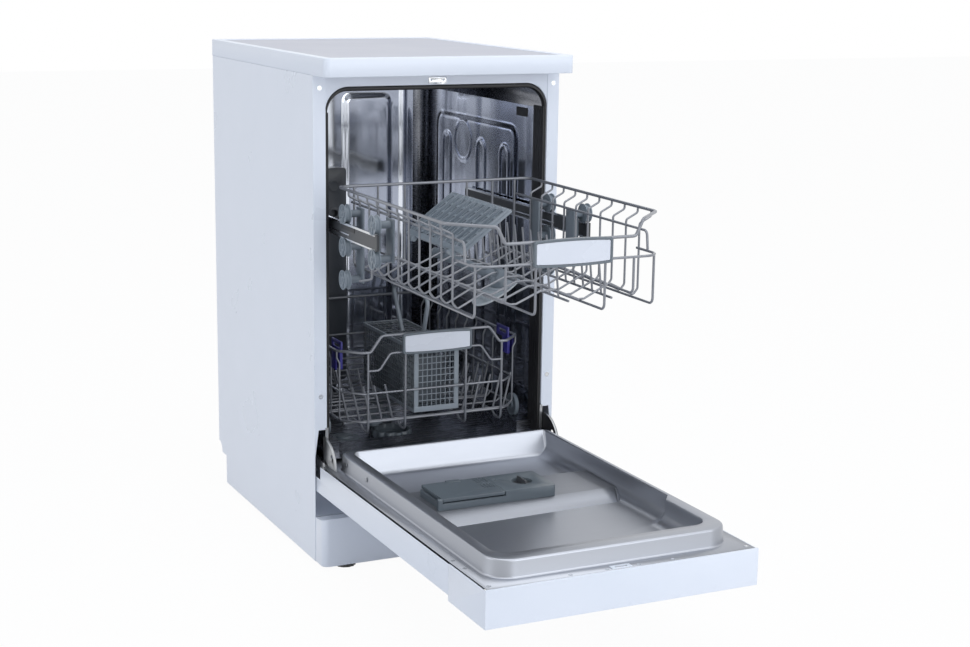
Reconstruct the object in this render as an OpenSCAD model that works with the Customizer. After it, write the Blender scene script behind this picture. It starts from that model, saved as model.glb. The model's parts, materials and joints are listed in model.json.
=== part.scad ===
// Freestanding slim dishwasher, door open and upper rack pulled out.
// Millimetres. +Z up, the front faces -Y, the floor is z = 0.

/* [Body] */
// Width over the side panels and the worktop
body_w = 445; // [436:1:480]
// Height of the side panels' top edge, where the worktop sits
panel_top = 820; // [812:1:880]
// Depth of the side panels
side_depth = 535; // [525:1:560]
// Sheet thickness of the side and back panels
sheet_t = 1; // [0.8:0.1:1.2]
// Width of the front flange that each side panel turns in
flange_w = 20.5; // [18:0.5:20.5]
// Gap between the floor and the panels' bottom edge
floor_gap = 6; // [5:1:10]
// Depth of the notch for hoses at the rear bottom corner
notch_depth = 45; // [30:1:50]
// Height of that notch
notch_h = 60; // [40:1:70]

/* [Worktop] */
// Thickness of the worktop
top_t = 30; // [20:1:40]
// Depth of the worktop
top_depth = 600; // [590:1:640]
// Overhang of the worktop in front of the cabinet
top_front = 54.6; // [40:0.1:60]
// Width of the worktop's white edge frame
top_rim = 16; // [10:1:30]
// Corner radius of the worktop
top_corner = 10; // [4:1:20]
// Depth of the panel's surface below the frame
top_inset = 1; // [0.5:0.5:3]

/* [Tub] */
// Half width of the tub inside
tub_half = 197; // [196.8:0.1:198]
// Height of the tub's ceiling
tub_top = 797; // [793:1:800]
// Back wall of the tub
tub_back = 506; // [504:1:512]
// Steel thickness of the tub
tub_t = 1; // [0.6:0.1:1.2]
// Corner radius of the tub's ceiling
tub_corner = 40; // [30:1:60]
// Height of the floor's front lip
lip_z = 182; // [180:0.5:186]
// Height of the tub floor
tub_floor_z = 171; // [168:1:174]
// Height of the wheel ledges, as the rim of the door liner
ledge_z = 203.5; // [200:0.5:206]
// Width of the black seal along the sides
seal_w = 4.5; // [3:0.5:4.6]

/* [Base] */
// Height of the plinth's front edge
plinth_h = 91; // [86:1:96]
// How far the plinth stands forward of the cabinet
plinth_out = 37; // [30:1:45]
// Radius of the concave guard about the door hinge
guard_r = 88; // [87:0.5:92]
// Wall of the base pan
pan_wall = 3; // [2:0.5:4]
// Radius of the feet
foot_r = 18; // [14:1:20]
// Distance of the feet from the cabinet's centre plane
foot_x = 176; // [160:1:190]

/* [Door] */
// Hinge axis behind the front plane (negative is in front)
hinge_y = -6.4; // [-8:0.1:-5]
// Height of the hinge axis
hinge_z = 171.7; // [170:0.1:173]
// Half width of the door
door_half = 220; // [216:0.5:220.5]
// Reach of the open door in front of the cabinet
door_reach = 650.7; // [640:0.1:652]
// Reach of the seam between door panel and control panel
seam_reach = 530; // [515:1:540]
// Thickness of the door
door_t = 47.5; // [44:0.5:48]
// Thickness of the control panel
panel_t = 56.1; // [50:0.1:60]
// Length of the door below its hinge
door_tail = 74; // [60:1:75]
// Height of the hinge axis below the door's inner face
face_rise = 4.9; // [3:0.1:6]
// Height of the liner's raised rim
rim_h = 26.9; // [20:0.1:28]
// Half width of the raised rim
rim_half = 195.5; // [190:0.5:195.8]
// Reach of the raised rim
rim_reach = 623; // [600:1:626]
// Depth of the recess inside the rim
recess_d = 41; // [36:1:43]
// Half width of the recess
recess_half = 171; // [160:1:173]
// Height of the cross band above the recess floor
band_h = 12; // [8:1:13]

/* [Racks] */
// Half width of the upper rack's top wire
upper_half = 175; // [165:1:177]
// Half width of the upper rack's cage
upper_cage = 155; // [148:1:157]
// Reach of the upper rack's front
upper_reach = 465; // [450:1:466]
// Height of the upper rack's top wire
upper_top = 638; // [630:1:645]
// Height of the upper rack's lowest wires
upper_low = 513; // [511:1:520]
// Wire pitch along both racks
wire_pitch = 40; // [36:1:50]
// Thickness of the rack wires
wire_d = 4; // [3:0.5:4.5]
// Thickness of the racks' top wires
top_wire_d = 5; // [4:0.5:6]
// Height of the rails' centre line
rail_z = 575; // [570:1:577]
// Height of a rail
rail_h = 27; // [24:0.5:28]
// Length of the rails
rail_len = 475; // [440:1:475]
// Front of the lower rack behind the front plane
lower_front = 6; // [5.5:0.5:10]
// Depth of the lower rack
lower_depth = 464; // [440:1:470]
// Half width of the lower rack
lower_half = 165; // [158:1:166]
// Height of the lower rack's top wire
lower_top = 357; // [350:1:360]
// Height of the lower rack's lowest wires
lower_low = 228; // [227:0.5:232]
// Radius of the lower rack's wheels
wheel_r = 20; // [16:0.5:20.2]

/* [Hidden] */
$fn = 48;

// Clearances
gap = 0.3;
fit = 0.1;
weld = 0.6;
// The part is moved so that its rest box is centred on y = 0
front_y = (door_reach - (top_depth - top_front)) / 2;

// Body
wx = body_w / 2;
wi = wx - sheet_t;
flange_x = wx - sheet_t - flange_w;
slot_top = hinge_z + 62;
screw_x = flange_x + flange_w / 2;
pan_z = 12;
pan_top = 80;
pan_y0 = 4;
pan_y1 = side_depth - notch_depth - 2;
inlet_x = 138;
drain_x = 84;
thread_r = 13.2;
spigot_r = 9.5;
neck = 1;
plinth_x = wx - 0.5;
plinth_r = 12;
foot_h = floor_gap - 1.5;
front_foot_y = -18;
rear_foot_y = side_depth - 80;

// Front frame, seal and tub
frame_y0 = sheet_t;
frame_y1 = 12;
seal_top = 793;
seal_in = tub_half - 0.7;
seal_out = seal_in + seal_w;
frame_in = seal_top + 8;
ledge_x = tub_half - 29;

// Door, in its open place
face_z = hinge_z + face_rise;
door_z0 = face_z - door_t;
panel_z0 = face_z - panel_t;
liner_t = 1.2;
rim_z = face_z + rim_h;
recess_z = rim_z - recess_d;
rim_back = 34;
recess_back = rim_back + 8;
recess_reach = rim_reach - 33;
band_y0 = 312;
band_y1 = 200;
band_ramp = 34;
band_top = recess_z + band_h;
tail_y = hinge_y + door_tail;
notch_x = door_half - 17.5;
arm_x = notch_x + 2;
arm_t = 2;
plate_x = arm_x + arm_t + 2.5;
plate_t = 3;
arm_r = 51;
pin_r = 4;
latch_reach = 639;
latch_z = hinge_z + latch_reach + hinge_y;
recess_right = recess_half + 15;
recess_step = 464;
// Screw heads of door and cabinet share the gap that stays when the door is closed
door_gap = -hinge_y - face_rise;
panel_head = 0.8;
door_head = door_gap - panel_head - gap;

// Dispenser on the cross band, with its lid over the left part
disp_x0 = -130;
disp_x1 = 70;
disp_y0 = -306;
disp_y1 = -222.4;
disp_h = 18;
disp_top = band_top + disp_h;
disp_r = 5;
lid_t = 5.3;
lid_slot = 2.2;
lid_z = disp_top - lid_t;
lid_x0 = disp_x0 + 3 + gap;
lid_x1 = -19;
lid_axis_y = disp_y0 + 4;
lid_axis_z = disp_top - 2.9;
lid_pin = 1.5;
cap_x = 29.5;
cap_y = -265;
cap_r = 16.7;

// Upper rack
ur_back = 12;
ur_corner = 57;
ur_bar = upper_top - 56;
ur_grip = upper_top - 25;
ur_second = upper_top - 26;
roller_hub = 13;
roller_r = 16;
roller_y = [-170, -45];
rail_x0 = 183;
rail_x1 = 188;
rail_front = -185;
roller_step = rail_h / 2 + gap + roller_hub;
hump = 21;
spray_z = upper_low + 6;
duct_half = 25;
duct_top = upper_low + 93;
duct_y = tub_back - 16.5;
high_dock = spray_z + 53;

// Lower rack
lr_back = lower_front + lower_depth;
lr_corner = 34;
lower_long = [124.5, 56.5];
wheel_x0 = 173.5;
wheel_w = 11;
wheel_y = [68, 235, 402];
wheel_z = ledge_z + gap + wheel_r;
basket_x = 6;
basket_w = 84;
basket_y0 = lower_front + 10;
basket_len = 236;
basket_bays = 4;
lr_floor = lower_low + 8 + wire_d - weld;
basket_z0 = lr_floor + wire_d / 2 - 0.2 + gap;
basket_h = 113;
bow_h = 80;
tine_row = [40, 130, 220, 310];

module place() { translate([0, front_y, 0]) children(); }

module box(x0, x1, y0, y1, z0, z1) {
    translate([x0, y0, z0]) cube([x1 - x0, y1 - y0, z1 - z0]);
}

module both() {
    children();
    mirror([1, 0, 0]) children();
}

// Cylinder along X from x0 to x1
module rod_x(x0, x1, y, z, r) {
    translate([x0, y, z]) rotate([0, 90, 0]) cylinder(r = r, h = x1 - x0);
}

// Cylinder along Y from y0 to y1
module rod_y(y0, y1, x, z, r) {
    translate([x, y1, z]) rotate([90, 0, 0]) cylinder(r = r, h = y1 - y0);
}

module rod_z(z0, z1, x, y, r) {
    translate([x, y, z0]) cylinder(r = r, h = z1 - z0);
}

// Rounded rectangle in 2D
module rrect(x0, x1, y0, y1, r) {
    translate([x0 + r, y0]) square([x1 - x0 - 2 * r, y1 - y0]);
    translate([x0, y0 + r]) square([x1 - x0, y1 - y0 - 2 * r]);
    for (x = [x0 + r, x1 - r], y = [y0 + r, y1 - r]) translate([x, y]) circle(r = r);
}

// A wire of square section along a flat path: helpers that offset the path
function unit(v) = v / norm(v);
function normal(a, b) = unit([a.y - b.y, b.x - a.x]);
function moved(p, h) = [for (i = [0 : len(p) - 1])
    let (n0 = i == 0 ? normal(p[0], p[1]) : normal(p[i - 1], p[i]),
         n1 = i == len(p) - 1 ? n0 : normal(p[i], p[i + 1]))
    p[i] + (n0 + n1) * h / (1 + n0 * n1)];
function back(p) = [for (i = [len(p) - 1 : -1 : 0]) p[i]];
function arc(cx, cy, r, a0, a1, n = 6) =
    [for (i = [0 : n]) [cx + r * cos(a0 + (a1 - a0) * i / n), cy + r * sin(a0 + (a1 - a0) * i / n)]];
function flip(p) = [for (i = [len(p) - 1 : -1 : 0]) [-p[i].x, p[i].y]];

function turned(p, h) = [for (i = [0 : len(p) - 1])
    let (n0 = normal(p[(i + len(p) - 1) % len(p)], p[i]), n1 = normal(p[i], p[(i + 1) % len(p)]))
    p[i] + (n0 + n1) * h / (1 + n0 * n1)];

module stroke(p, w) { polygon(concat(moved(p, w / 2), back(moved(p, -w / 2)))); }
// The same for a path that closes on itself, given against the clock
module loop_xy(p, z, w) {
    translate([0, 0, z - w / 2]) linear_extrude(w) difference() {
        polygon(turned(p, w / 2));
        polygon(turned(p, -w / 2));
    }
}

module wire_xy(p, z, w) { translate([0, 0, z - w / 2]) linear_extrude(w) stroke(p, w); }
module wire_xz(p, y, w) {
    translate([0, y + w / 2, 0]) rotate([90, 0, 0]) linear_extrude(w) stroke(p, w);
}
module wire_yz(p, x, w) {
    translate([x - w / 2, 0, 0]) rotate([90, 0, 90]) linear_extrude(w) stroke(p, w);
}

module ring_screw(x, y, z, r, h) {
    difference() {
        rod_z(z, z + h, x, y, r);
        translate([x - r * 0.7, y - 0.5, z + h / 2]) cube([r * 1.4, 1, h]);
    }
}

// Worktop

module worktop_frame() {
    color("#eef2f8") place() difference() {
        translate([0, 0, panel_top]) linear_extrude(top_t)
            rrect(-wx, wx, -top_front, top_depth - top_front, top_corner);
        translate([0, 0, panel_top + 3]) linear_extrude(top_t)
            rrect(top_rim - wx, wx - top_rim, top_rim - top_front,
                  top_depth - top_front - top_rim, top_corner / 2);
        translate([0, 0, panel_top - 1]) linear_extrude(top_t)
            rrect(top_rim + 10 - wx, wx - top_rim - 10, top_rim + 10 - top_front,
                  top_depth - top_front - top_rim - 10, top_corner / 2);
    }
}

module worktop_panel() {
    color("#c9cbdc") place() translate([0, 0, panel_top + 3])
        linear_extrude(top_t - 3 - top_inset)
        rrect(top_rim - wx + fit, wx - top_rim - fit, top_rim - top_front + fit,
              top_depth - top_front - top_rim - fit, top_corner / 2);
}

// Cabinet

module side_sheet() {
    translate([wi, 0, 0]) rotate([90, 0, 90]) linear_extrude(sheet_t) difference() {
        translate([0, floor_gap]) square([side_depth, panel_top - floor_gap]);
        translate([side_depth - notch_depth, -1])
            square([notch_depth + 1, notch_h + 1]);
        translate([side_depth, notch_h]) circle(r = 20);
    }
    difference() {
        box(flange_x, wi, 0, sheet_t, floor_gap, panel_top);
        translate([0, sheet_t + 1, 0]) rotate([90, 0, 0]) linear_extrude(sheet_t + 2)
            polygon([[flange_x - 1, plinth_h - 8], [wi + 1, plinth_h - 8], [wi + 1, hinge_z + 8],
                     [wi - 6, slot_top], [flange_x + 1, slot_top], [flange_x - 1, slot_top - 8]]);
    }
}

module left_side_panel() { color("#dfe4f0") place() mirror([1, 0, 0]) side_sheet(); }
module right_side_panel() { color("#dfe4f0") place() side_sheet(); }

module panel_screws() {
    color("#d8dce4") place() both() for (z = [panel_top - 20, slot_top + 57.3])
        difference() {
            rod_y(-panel_head, 0, screw_x, z, 4);
            box(screw_x - 3, screw_x + 3, -3, -panel_head / 2, z - 0.6, z + 0.6);
        }
}

module back_panel() {
    color("#b9bec6") place() difference() {
        box(-wi, wi, side_depth - sheet_t, side_depth, notch_h + 20, panel_top);
        for (z = [300 : 60 : 660]) box(-60, 60, side_depth - 3, side_depth + 1, z, z + 8);
    }
}

module base_pan() {
    color("#33363b") place() {
        difference() {
            union() {
                box(-wi, wi, pan_y0, pan_y1, pan_z, pan_top);
                both() box(foot_x - 14, foot_x + 14, front_foot_y - 14, pan_y0 + 1, pan_z,
                           pan_z + pan_wall);
            }
            box(pan_wall - wi, wi - pan_wall, pan_y0 + pan_wall, pan_y1 - pan_wall,
                pan_z + pan_wall, pan_top + 1);
            both() for (y = [front_foot_y, rear_foot_y]) rod_z(0, 30, foot_x, y, 5 + gap);
            rod_y(pan_y1 - 10, pan_y1 + 1, inlet_x, 45, thread_r + fit);
            rod_y(pan_y1 - 10, pan_y1 + 1, drain_x, 45, spigot_r + fit);
        }
        both() for (y = [front_foot_y, rear_foot_y]) difference() {
            rod_z(pan_z + pan_wall, 42, foot_x, y, 12);
            rod_z(0, 60, foot_x, y, 5 + gap);
        }
    }
}

module guard_space(extra) { rod_x(-300, 300, hinge_y, hinge_z, guard_r + extra); }

module plinth() {
    color("#e9eef8") place() difference() {
        translate([0, 0, floor_gap]) linear_extrude(plinth_h - floor_gap) difference() {
            rrect(-plinth_x, plinth_x, -plinth_out, 30, plinth_r);
            translate([-wx, -gap]) square([2 * wx, 40]);
        }
        translate([0, 0, floor_gap - 1]) linear_extrude(plinth_h - 11 - floor_gap)
            rrect(pan_wall - plinth_x, plinth_x - pan_wall, pan_wall - plinth_out, 30,
                  plinth_r - pan_wall);
        guard_space(0);
    }
}

module splash_guard() {
    color("#dde3ee") place() intersection() {
        difference() {
            rod_x(gap - wi, wi - gap, hinge_y, hinge_z, guard_r + 2);
            guard_space(0);
        }
        box(-wx, wx, pan_y0, 120, 60, 160);
    }
}

// Pivot plates of the door hinge, each with its pin
module hinge_brackets() {
    color("#a9adb0") place() both() {
        rod_x(plate_x, plate_x + plate_t, hinge_y, hinge_z, 9);
        box(plate_x, plate_x + plate_t, hinge_y, 96, hinge_z - 9, hinge_z + 9);
        box(plate_x, plate_x + plate_t, 88, 106, pan_z + pan_wall, hinge_z + 9);
        rod_x(arm_x - 1.1, plate_x, hinge_y, hinge_z, pin_r);
        box(plate_x - 13, plate_x + plate_t, 94, 106, pan_z + pan_wall, pan_z + 6 + pan_wall);
    }
}

// Tub

module tub_outline(o) {
    h = tub_half + o;
    r = tub_corner + o;
    difference() {
        rrect(-h, h, 0, tub_top + o, r);
        translate([-h - 1, -1]) square([2 * h + 2, lip_z - 3.1]);
    }
}

module tub_shell() {
    color("#b6bac2") place() {
        translate([0, tub_back, 0]) rotate([90, 0, 0]) linear_extrude(tub_back - frame_y1)
            difference() {
                tub_outline(tub_t);
                translate([0, -5]) tub_outline(0);
                tub_outline(0);
            }
        translate([0, tub_back + tub_t, 0]) rotate([90, 0, 0]) linear_extrude(tub_t)
            tub_outline(tub_t);
    }
}

module tub_floor() {
    t = 1.2;
    color("#8d929b") place() difference() {
        union() {
            box(-tub_half, tub_half, frame_y0, 92, lip_z - t, lip_z);
            box(-tub_half, tub_half, 90, tub_back, tub_floor_z - t, tub_floor_z);
            box(-tub_half, tub_half, 90.8, 92, tub_floor_z - t, lip_z);
            both() box(ledge_x, tub_half, 28, tub_back, ledge_z - 2, ledge_z);
            both() box(ledge_x, ledge_x + 2, 28, 91, lip_z - t, ledge_z);
            both() box(ledge_x, ledge_x + 2, 90.8, tub_back, tub_floor_z - t, ledge_z);
            both() box(ledge_x, tub_half, 28, 29.2, lip_z - t, ledge_z);
        }
        rod_z(100, 200, -30, 130, 33);
        rod_z(100, 200, -122, 124, 26);
        rod_z(100, 200, 0, 255, 10.3);
        rod_z(100, 200, 0, tub_back - 9, 6.3);
    }
}

module front_frame() {
    color("#e6ebf6") place() {
        difference() {
            box(-wi, wi, frame_y0, frame_y1, slot_top + 4, panel_top);
            translate([0, frame_y1 + 1, 0]) rotate([90, 0, 0]) linear_extrude(frame_y1 + 2)
                union() {
                    rrect(-seal_out, seal_out, 0, frame_in, tub_corner);
                    translate([-seal_out, 100]) square([2 * seal_out, 300]);
                }
        }
    }
}

module door_seal() {
    color("#17181b") place() {
        translate([0, frame_y1, 0]) rotate([90, 0, 0]) linear_extrude(frame_y1 - frame_y0 - 1)
            difference() {
                intersection() {
                    rrect(-seal_out, seal_out, 0, frame_in, tub_corner);
                    translate([-300, lip_z]) square([600, 700]);
                }
                rrect(-seal_in, seal_in, 0, seal_top, tub_corner - 4);
            }
        box(-seal_in, seal_in, frame_y0, frame_y0 + 5, lip_z, lip_z + 4);
    }
}

module latch_striker() {
    color("#c4c7cc") place() {
        difference() {
            box(-20, 12, 0.1, frame_y0, latch_z - 1, latch_z + 9);
            for (x = [-15, 7]) rod_y(-2, 3, x, latch_z + 5, 1.6);
        }
        difference() {
            box(-11, 3, -14, 0.1, latch_z - 1, latch_z + 1);
            box(-7, -1, -11, -4, latch_z - 2, latch_z + 2);
        }
    }
}

// Water system

module sump() {
    color("#5b6068") place() difference() {
        union() {
            rod_z(92, tub_floor_z - 1.2, -30, 130, 38);
            rod_z(tub_floor_z - 4, tub_floor_z - 1.2, -30, 130, 40);
            rod_y(160, 182, -30, 112, 14);
            rod_x(-92, -60, 130, 104, 9);
        }
        rod_z(96, 200, -30, 130, 33);
        rod_y(150, 183, -30, 112, 11);
        rod_x(-93, -50, 130, 104, 6);
    }
}

module circulation_pump() {
    color("#70757d") place() {
        difference() {
            rod_y(182, 212, -30, 100, 42);
            rod_y(181, 208, -30, 112, 11);
        }
        rod_y(212, 300, -30, 100, 34);
        rod_y(300, 308, -30, 100, 12);
        box(-50, -10, 196, 286, pan_z + pan_wall, 68);
        rod_z(140, tub_floor_z - 1.2, -30, 197, 9);
    }
}

module drain_pump() {
    color("#4a4f57") place() {
        rod_x(-128, -92, 130, 104, 24);
        rod_x(-176, -128, 130, 104, 18);
        box(-150, -104, 118, 142, pan_z + pan_wall, 88);
    }
}

module water_softener() {
    color("#d9dce0") place() difference() {
        union() {
            box(-176, -72, 160, 300, 84, tub_floor_z - 1.3);
            rod_z(tub_floor_z - 30, tub_floor_z - 1.3, -122, 124, 31);
            box(-153, -91, 124, 165, tub_floor_z - 30, tub_floor_z - 1.3);
            box(-160, -90, 240, 290, pan_z + pan_wall, 84);
        }
        rod_z(tub_floor_z - 26, 200, -122, 124, 24.3);
    }
}

module filter_plate() {
    color("#9aa0a8") place() difference() {
        rod_z(tub_floor_z, tub_floor_z + 1.5, -30, 130, 37.5);
        rod_z(100, 200, -30, 130, 29.3);
    }
}

module spray_duct() {
    color("#7f8893") place() difference() {
        union() {
            rod_z(tub_floor_z - 12, tub_floor_z + 20, 0, tub_back - 9, 6);
            translate([0, tub_back, 0]) rotate([90, 0, 0]) linear_extrude(tub_back - duct_y)
                rrect(-duct_half, duct_half, tub_floor_z + 18, duct_top, 6);
            for (z = [spray_z, high_dock]) rod_y(duct_y - 1.5, duct_y + 2, 0, z, 12);
        }
        rod_y(duct_y - 3, tub_back - 4, 0, spray_z, 7);
        rod_y(duct_y - 3, duct_y, 0, high_dock, 8);
    }
}

module rear_connections() {
    color("#3d4148") place() {
        difference() {
            union() {
                rod_y(pan_y1 - 40, pan_y1 - pan_wall, inlet_x, 45, 16);
                rod_y(pan_y1 - pan_wall, pan_y1 + neck, inlet_x, 45, thread_r - 1);
                rod_y(pan_y1 + neck, pan_y1 + neck + 22, inlet_x, 45, thread_r);
                box(inlet_x - 12, inlet_x + 12, pan_y1 - 60, pan_y1 - 40, pan_z + pan_wall, 62);
            }
            rod_y(pan_y1 - 20, pan_y1 + neck + 23, inlet_x, 45, 8);
        }
        difference() {
            union() {
                rod_y(pan_y1 - 20, pan_y1 - pan_wall, drain_x, 45, 14);
                rod_y(pan_y1 - pan_wall, pan_y1 + neck, drain_x, 45, spigot_r - 1);
                rod_y(pan_y1 + neck, pan_y1 + neck + 28, drain_x, 45, spigot_r);
            }
            rod_y(pan_y1 - 15, pan_y1 + neck + 29, drain_x, 45, 6);
        }
    }
}

// Rails: a bar with a T rib that slides in fixed guides

module rail_profile(c) {
    h = rail_h / 2;
    polygon([[rail_x0, -h], [rail_x1, -h], [rail_x1, -4 - c], [192 - c, -4 - c], [192 - c, -8 - c],
             [194 + c, -8 - c], [194 + c, 8 + c], [192 - c, 8 + c], [192 - c, 4 + c],
             [rail_x1, 4 + c], [rail_x1, h], [rail_x0, h]]);
}

module along_y(y0, y1) {
    translate([0, y1, 0]) rotate([90, 0, 0]) linear_extrude(y1 - y0) children();
}

module rails() {
    color("#c3c7cd") place() both() translate([0, 0, rail_z])
        along_y(rail_front, rail_front + rail_len) rail_profile(0);
}

module rail_guides() {
    color("#6f7882") place() both() for (y = [36, 240]) translate([0, 0, rail_z])
        along_y(y, y + 34) difference() {
            translate([rail_x1 + 0.6, -10]) square([tub_half - rail_x1 - 0.6, 20]);
            rail_profile(gap);
        }
}

module foot(x, y) {
    place() {
        rod_z(0, foot_h, x, y, foot_r);
        translate([x, y, foot_h]) cylinder(r1 = foot_r * 0.8, r2 = 8, h = pan_z - foot_h - gap);
        rod_z(foot_h, 40, x, y, 5);
    }
}

module rear_feet() { color("#1d1e20") for (x = [-foot_x, foot_x]) foot(x, rear_foot_y); }
module front_left_foot() { color("#1d1e20") foot(-foot_x, front_foot_y); }
module front_right_foot() { color("#1d1e20") foot(foot_x, front_foot_y); }

module salt_cap() {
    color("#4d5258") place() {
        rod_z(tub_floor_z - 16, tub_floor_z + 1, -122, 124, 24);
        rod_z(tub_floor_z + gap, tub_floor_z + 10, -122, 124, 29);
        box(-145, -99, 120, 128, tub_floor_z + 9, tub_floor_z + 13);
    }
}

module filter_cup() {
    color("#4a4e54") place() difference() {
        union() {
            rod_z(98, tub_floor_z + 8, -30, 130, 29);
            rod_z(tub_floor_z + 2, tub_floor_z + 14, -30, 130, 33);
            for (a = [0 : 30 : 330])
                rod_z(tub_floor_z + 2, tub_floor_z + 12, -30 + 33 * cos(a), 130 + 33 * sin(a), 3);
        }
        rod_z(102, 300, -30, 130, 26);
    }
}

// A hollow arm with round ends, narrower below than above
module spray_arm(len, w, z0, h) {
    difference() {
        for (layer = [[0, h / 2, w - 12], [h / 2, h / 2, w]])
            translate([0, 0, z0 + layer.x]) linear_extrude(layer.y) {
                for (s = [-1, 1]) translate([s * (len - w / 2), 0]) circle(r = layer.z / 2);
                translate([w / 2 - len, -layer.z / 2]) square([2 * len - w, layer.z]);
                circle(r = layer.z * 0.75);
            }
        for (s = [-1, 1], x = [40 : 22 : len - 12])
            translate([s * x, s * 6, z0 + h - 1]) cylinder(r = 2, h = 2);
    }
}

module lower_spray_arm() {
    color("#8f99a4") place() translate([0, 255, 0]) {
        rotate([0, 0, 62]) spray_arm(150, 34, tub_floor_z + 22, 10);
        rod_z(tub_floor_z - 10, tub_floor_z + 22, 0, 0, 10);
        rod_z(tub_floor_z + 0.3, tub_floor_z + 22, 0, 0, 18);
        rod_z(tub_floor_z + 32, tub_floor_z + 38, 0, 0, 12);
    }
}

// Upper rack

ur_fy = -upper_reach;
ur_xs = upper_cage - 5;

function ur_bottom_half() = [[upper_cage, ur_second + 8], [upper_cage, upper_low + 9],
    [upper_cage - 8, upper_low], [105, upper_low + hump], [64, upper_low], [50, upper_low]];
function ur_section() = concat(
    [[upper_half, upper_top], [upper_half, upper_top - 8]], ur_bottom_half(),
    [[0, upper_low + hump - 4]], flip(concat([[upper_half, upper_top],
    [upper_half, upper_top - 8]], ur_bottom_half())));

// Height of the section at the long wires
function long_z(x) = abs(x) > 140 ? upper_low : abs(x) > 80 ? upper_low + hump : abs(x) > 30 ?
    upper_low : upper_low + hump - 4;

module ur_long(x) {
    z = long_z(x) - wire_d + weld;
    y = abs(x) > 140 ? ur_fy + 13 : ur_fy;
    wire_yz([[y, ur_bar], [y, z + 8], [y + 8, z], [ur_back - 8, z], [ur_back, z + 8],
             [ur_back, upper_top]], x, wire_d);
}

module upper_rack() {
    loop = [[upper_half - ur_corner, ur_fy], [upper_half, ur_fy + ur_corner],
        [upper_half, ur_back - 14], [upper_half - 14, ur_back]];
    low = concat(arc(ur_xs - 25, ur_fy + 25, 25, -90, 0, 4), [[ur_xs, ur_fy + 70]]);
    color("#a3a7ad") place() {
        wire_xy(concat(loop, flip(loop)), upper_top, top_wire_d);
        wire_xz([[-121, upper_top], [-118, upper_top], [-107, ur_grip], [107, ur_grip],
                 [118, upper_top], [121, upper_top]], ur_fy, top_wire_d - 0.4);
        both() wire_xy([[ur_xs + 1, ur_fy + 50], [ur_xs + 1, ur_back]], ur_second, wire_d);
        wire_xy(concat(flip(low), low), ur_bar, wire_d);
        both() wire_yz([[ur_fy + 58, ur_second], [ur_fy + 46, ur_second], [ur_fy + 40, ur_second - 8],
                        [ur_fy + 40, ur_bar]], ur_xs + 1, wire_d);
        for (y = [ur_fy + 71 : wire_pitch : ur_back - 20])
            wire_xz(ur_section(), y, wire_d - 0.4);
        for (x = [-ur_xs + 3, -105, -57, 57, 105, ur_xs - 3]) ur_long(x);
        for (y = [ur_fy + 71 : wire_pitch * 0.7 : ur_back - 30], x = [19, 92])
            translate([x, y, long_z(57) + 4]) rotate([0, -6, 0])
                cylinder(r = 1.7, h = 66, $fn = 6);
        for (x = [19, 92]) wire_yz([[ur_fy + 40, long_z(57) + 5], [ur_back, long_z(57) + 5]],
            x, wire_d);
    }
}

module handle(z0, z1, y1, t) {
    w = 64;
    translate([0, y1, 0]) rotate([90, 0, 0]) linear_extrude(t) difference() {
        rrect(-w, w, z0, z1, 4);
        rrect(-w + 4, w - 4, z0 + 4, z1 - 4, 2);
    }
    translate([0, y1 - 1, 0]) rotate([90, 0, 0]) linear_extrude(t - 1.6)
        rrect(-w + 3, w - 3, z0 + 3, z1 - 3, 2);
}

module upper_handle() {
    color("#cfd5e4") place() handle(ur_bar - 6, ur_grip + 4, ur_fy - top_wire_d / 2 + 0.1, 6.5);
}

module roller_brackets() {
    x0 = upper_cage + wire_d / 2 + 0.2;
    color("#7c858f") place() both() for (i = [0, 1]) {
        low = i == 0 ? 1 : 3;
        y = roller_y[i];
        box(x0, x0 + 3, y - 14, y + 14, rail_z - low * roller_step - 6, rail_z + roller_step + 9);
        for (k = [-1 : 2 : low]) {
            z = rail_z - k * roller_step;
            rod_x(x0 + 3, 179.6, y, z, 6);
            rod_x(179.6, 191, y, z, 2.8);
        }
    }
}

module rollers(y, k) {
    z = rail_z + k * roller_step;
    both() difference() {
        union() {
            rod_x(180, 190.3, y, z, roller_hub);
            rod_x(180, 182.5, y, z, roller_r);
            rod_x(188.5, 190.3, y, z, roller_r);
        }
        rod_x(179, 192, y, z, 3.1);
    }
}

module upper_rollers_front_top() { color("#8d969f") place() rollers(roller_y[0], 1); }
module upper_rollers_front_low() { color("#8d969f") place() rollers(roller_y[0], -1); }
module upper_rollers_rear_top() { color("#8d969f") place() rollers(roller_y[1], 1); }
module upper_rollers_rear_low() { color("#8d969f") place() rollers(roller_y[1], -1); }
module upper_rollers_spare() { color("#8d969f") place() rollers(roller_y[1], -3); }

// Cup shelf, hinged on the left side of the cage
shelf_x = -(upper_cage - (wire_d - 0.4) / 2 - 4.5 - gap);
shelf_z = ur_second - 23;
shelf_y0 = ur_fy + 63;
shelf_len = 200;
shelf_w = 103;
shelf_tilt = 36.5;

module cup_shelf() {
    color("#8e97a4") place() {
        translate([shelf_x, 0, shelf_z]) rotate([0, -shelf_tilt, 0]) {
            difference() {
                box(4, shelf_w, shelf_y0, shelf_y0 + shelf_len, -2, 2);
                for (i = [0 : 4], j = [0 : 8])
                    box(13 + i * 17.5, 26 + i * 17.5, shelf_y0 + 6.9 + j * 21.2,
                        shelf_y0 + 20.1 + j * 21.2, -3, 3);
            }
            for (j = [0 : 9]) box(14, shelf_w - 3, shelf_y0 + 1.8 + j * 21.2,
                                  shelf_y0 + 4.4 + j * 21.2, 1, 6);
        }
        for (y = [shelf_y0 + 20, shelf_y0 + shelf_len - 36]) {
            rod_y(y, y + 16, shelf_x, shelf_z, 4.5);
            translate([shelf_x, y, shelf_z]) rotate([0, -shelf_tilt, 0])
                box(2, 7, 1, 15, -1.6, 1.5);
        }
    }
}

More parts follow.
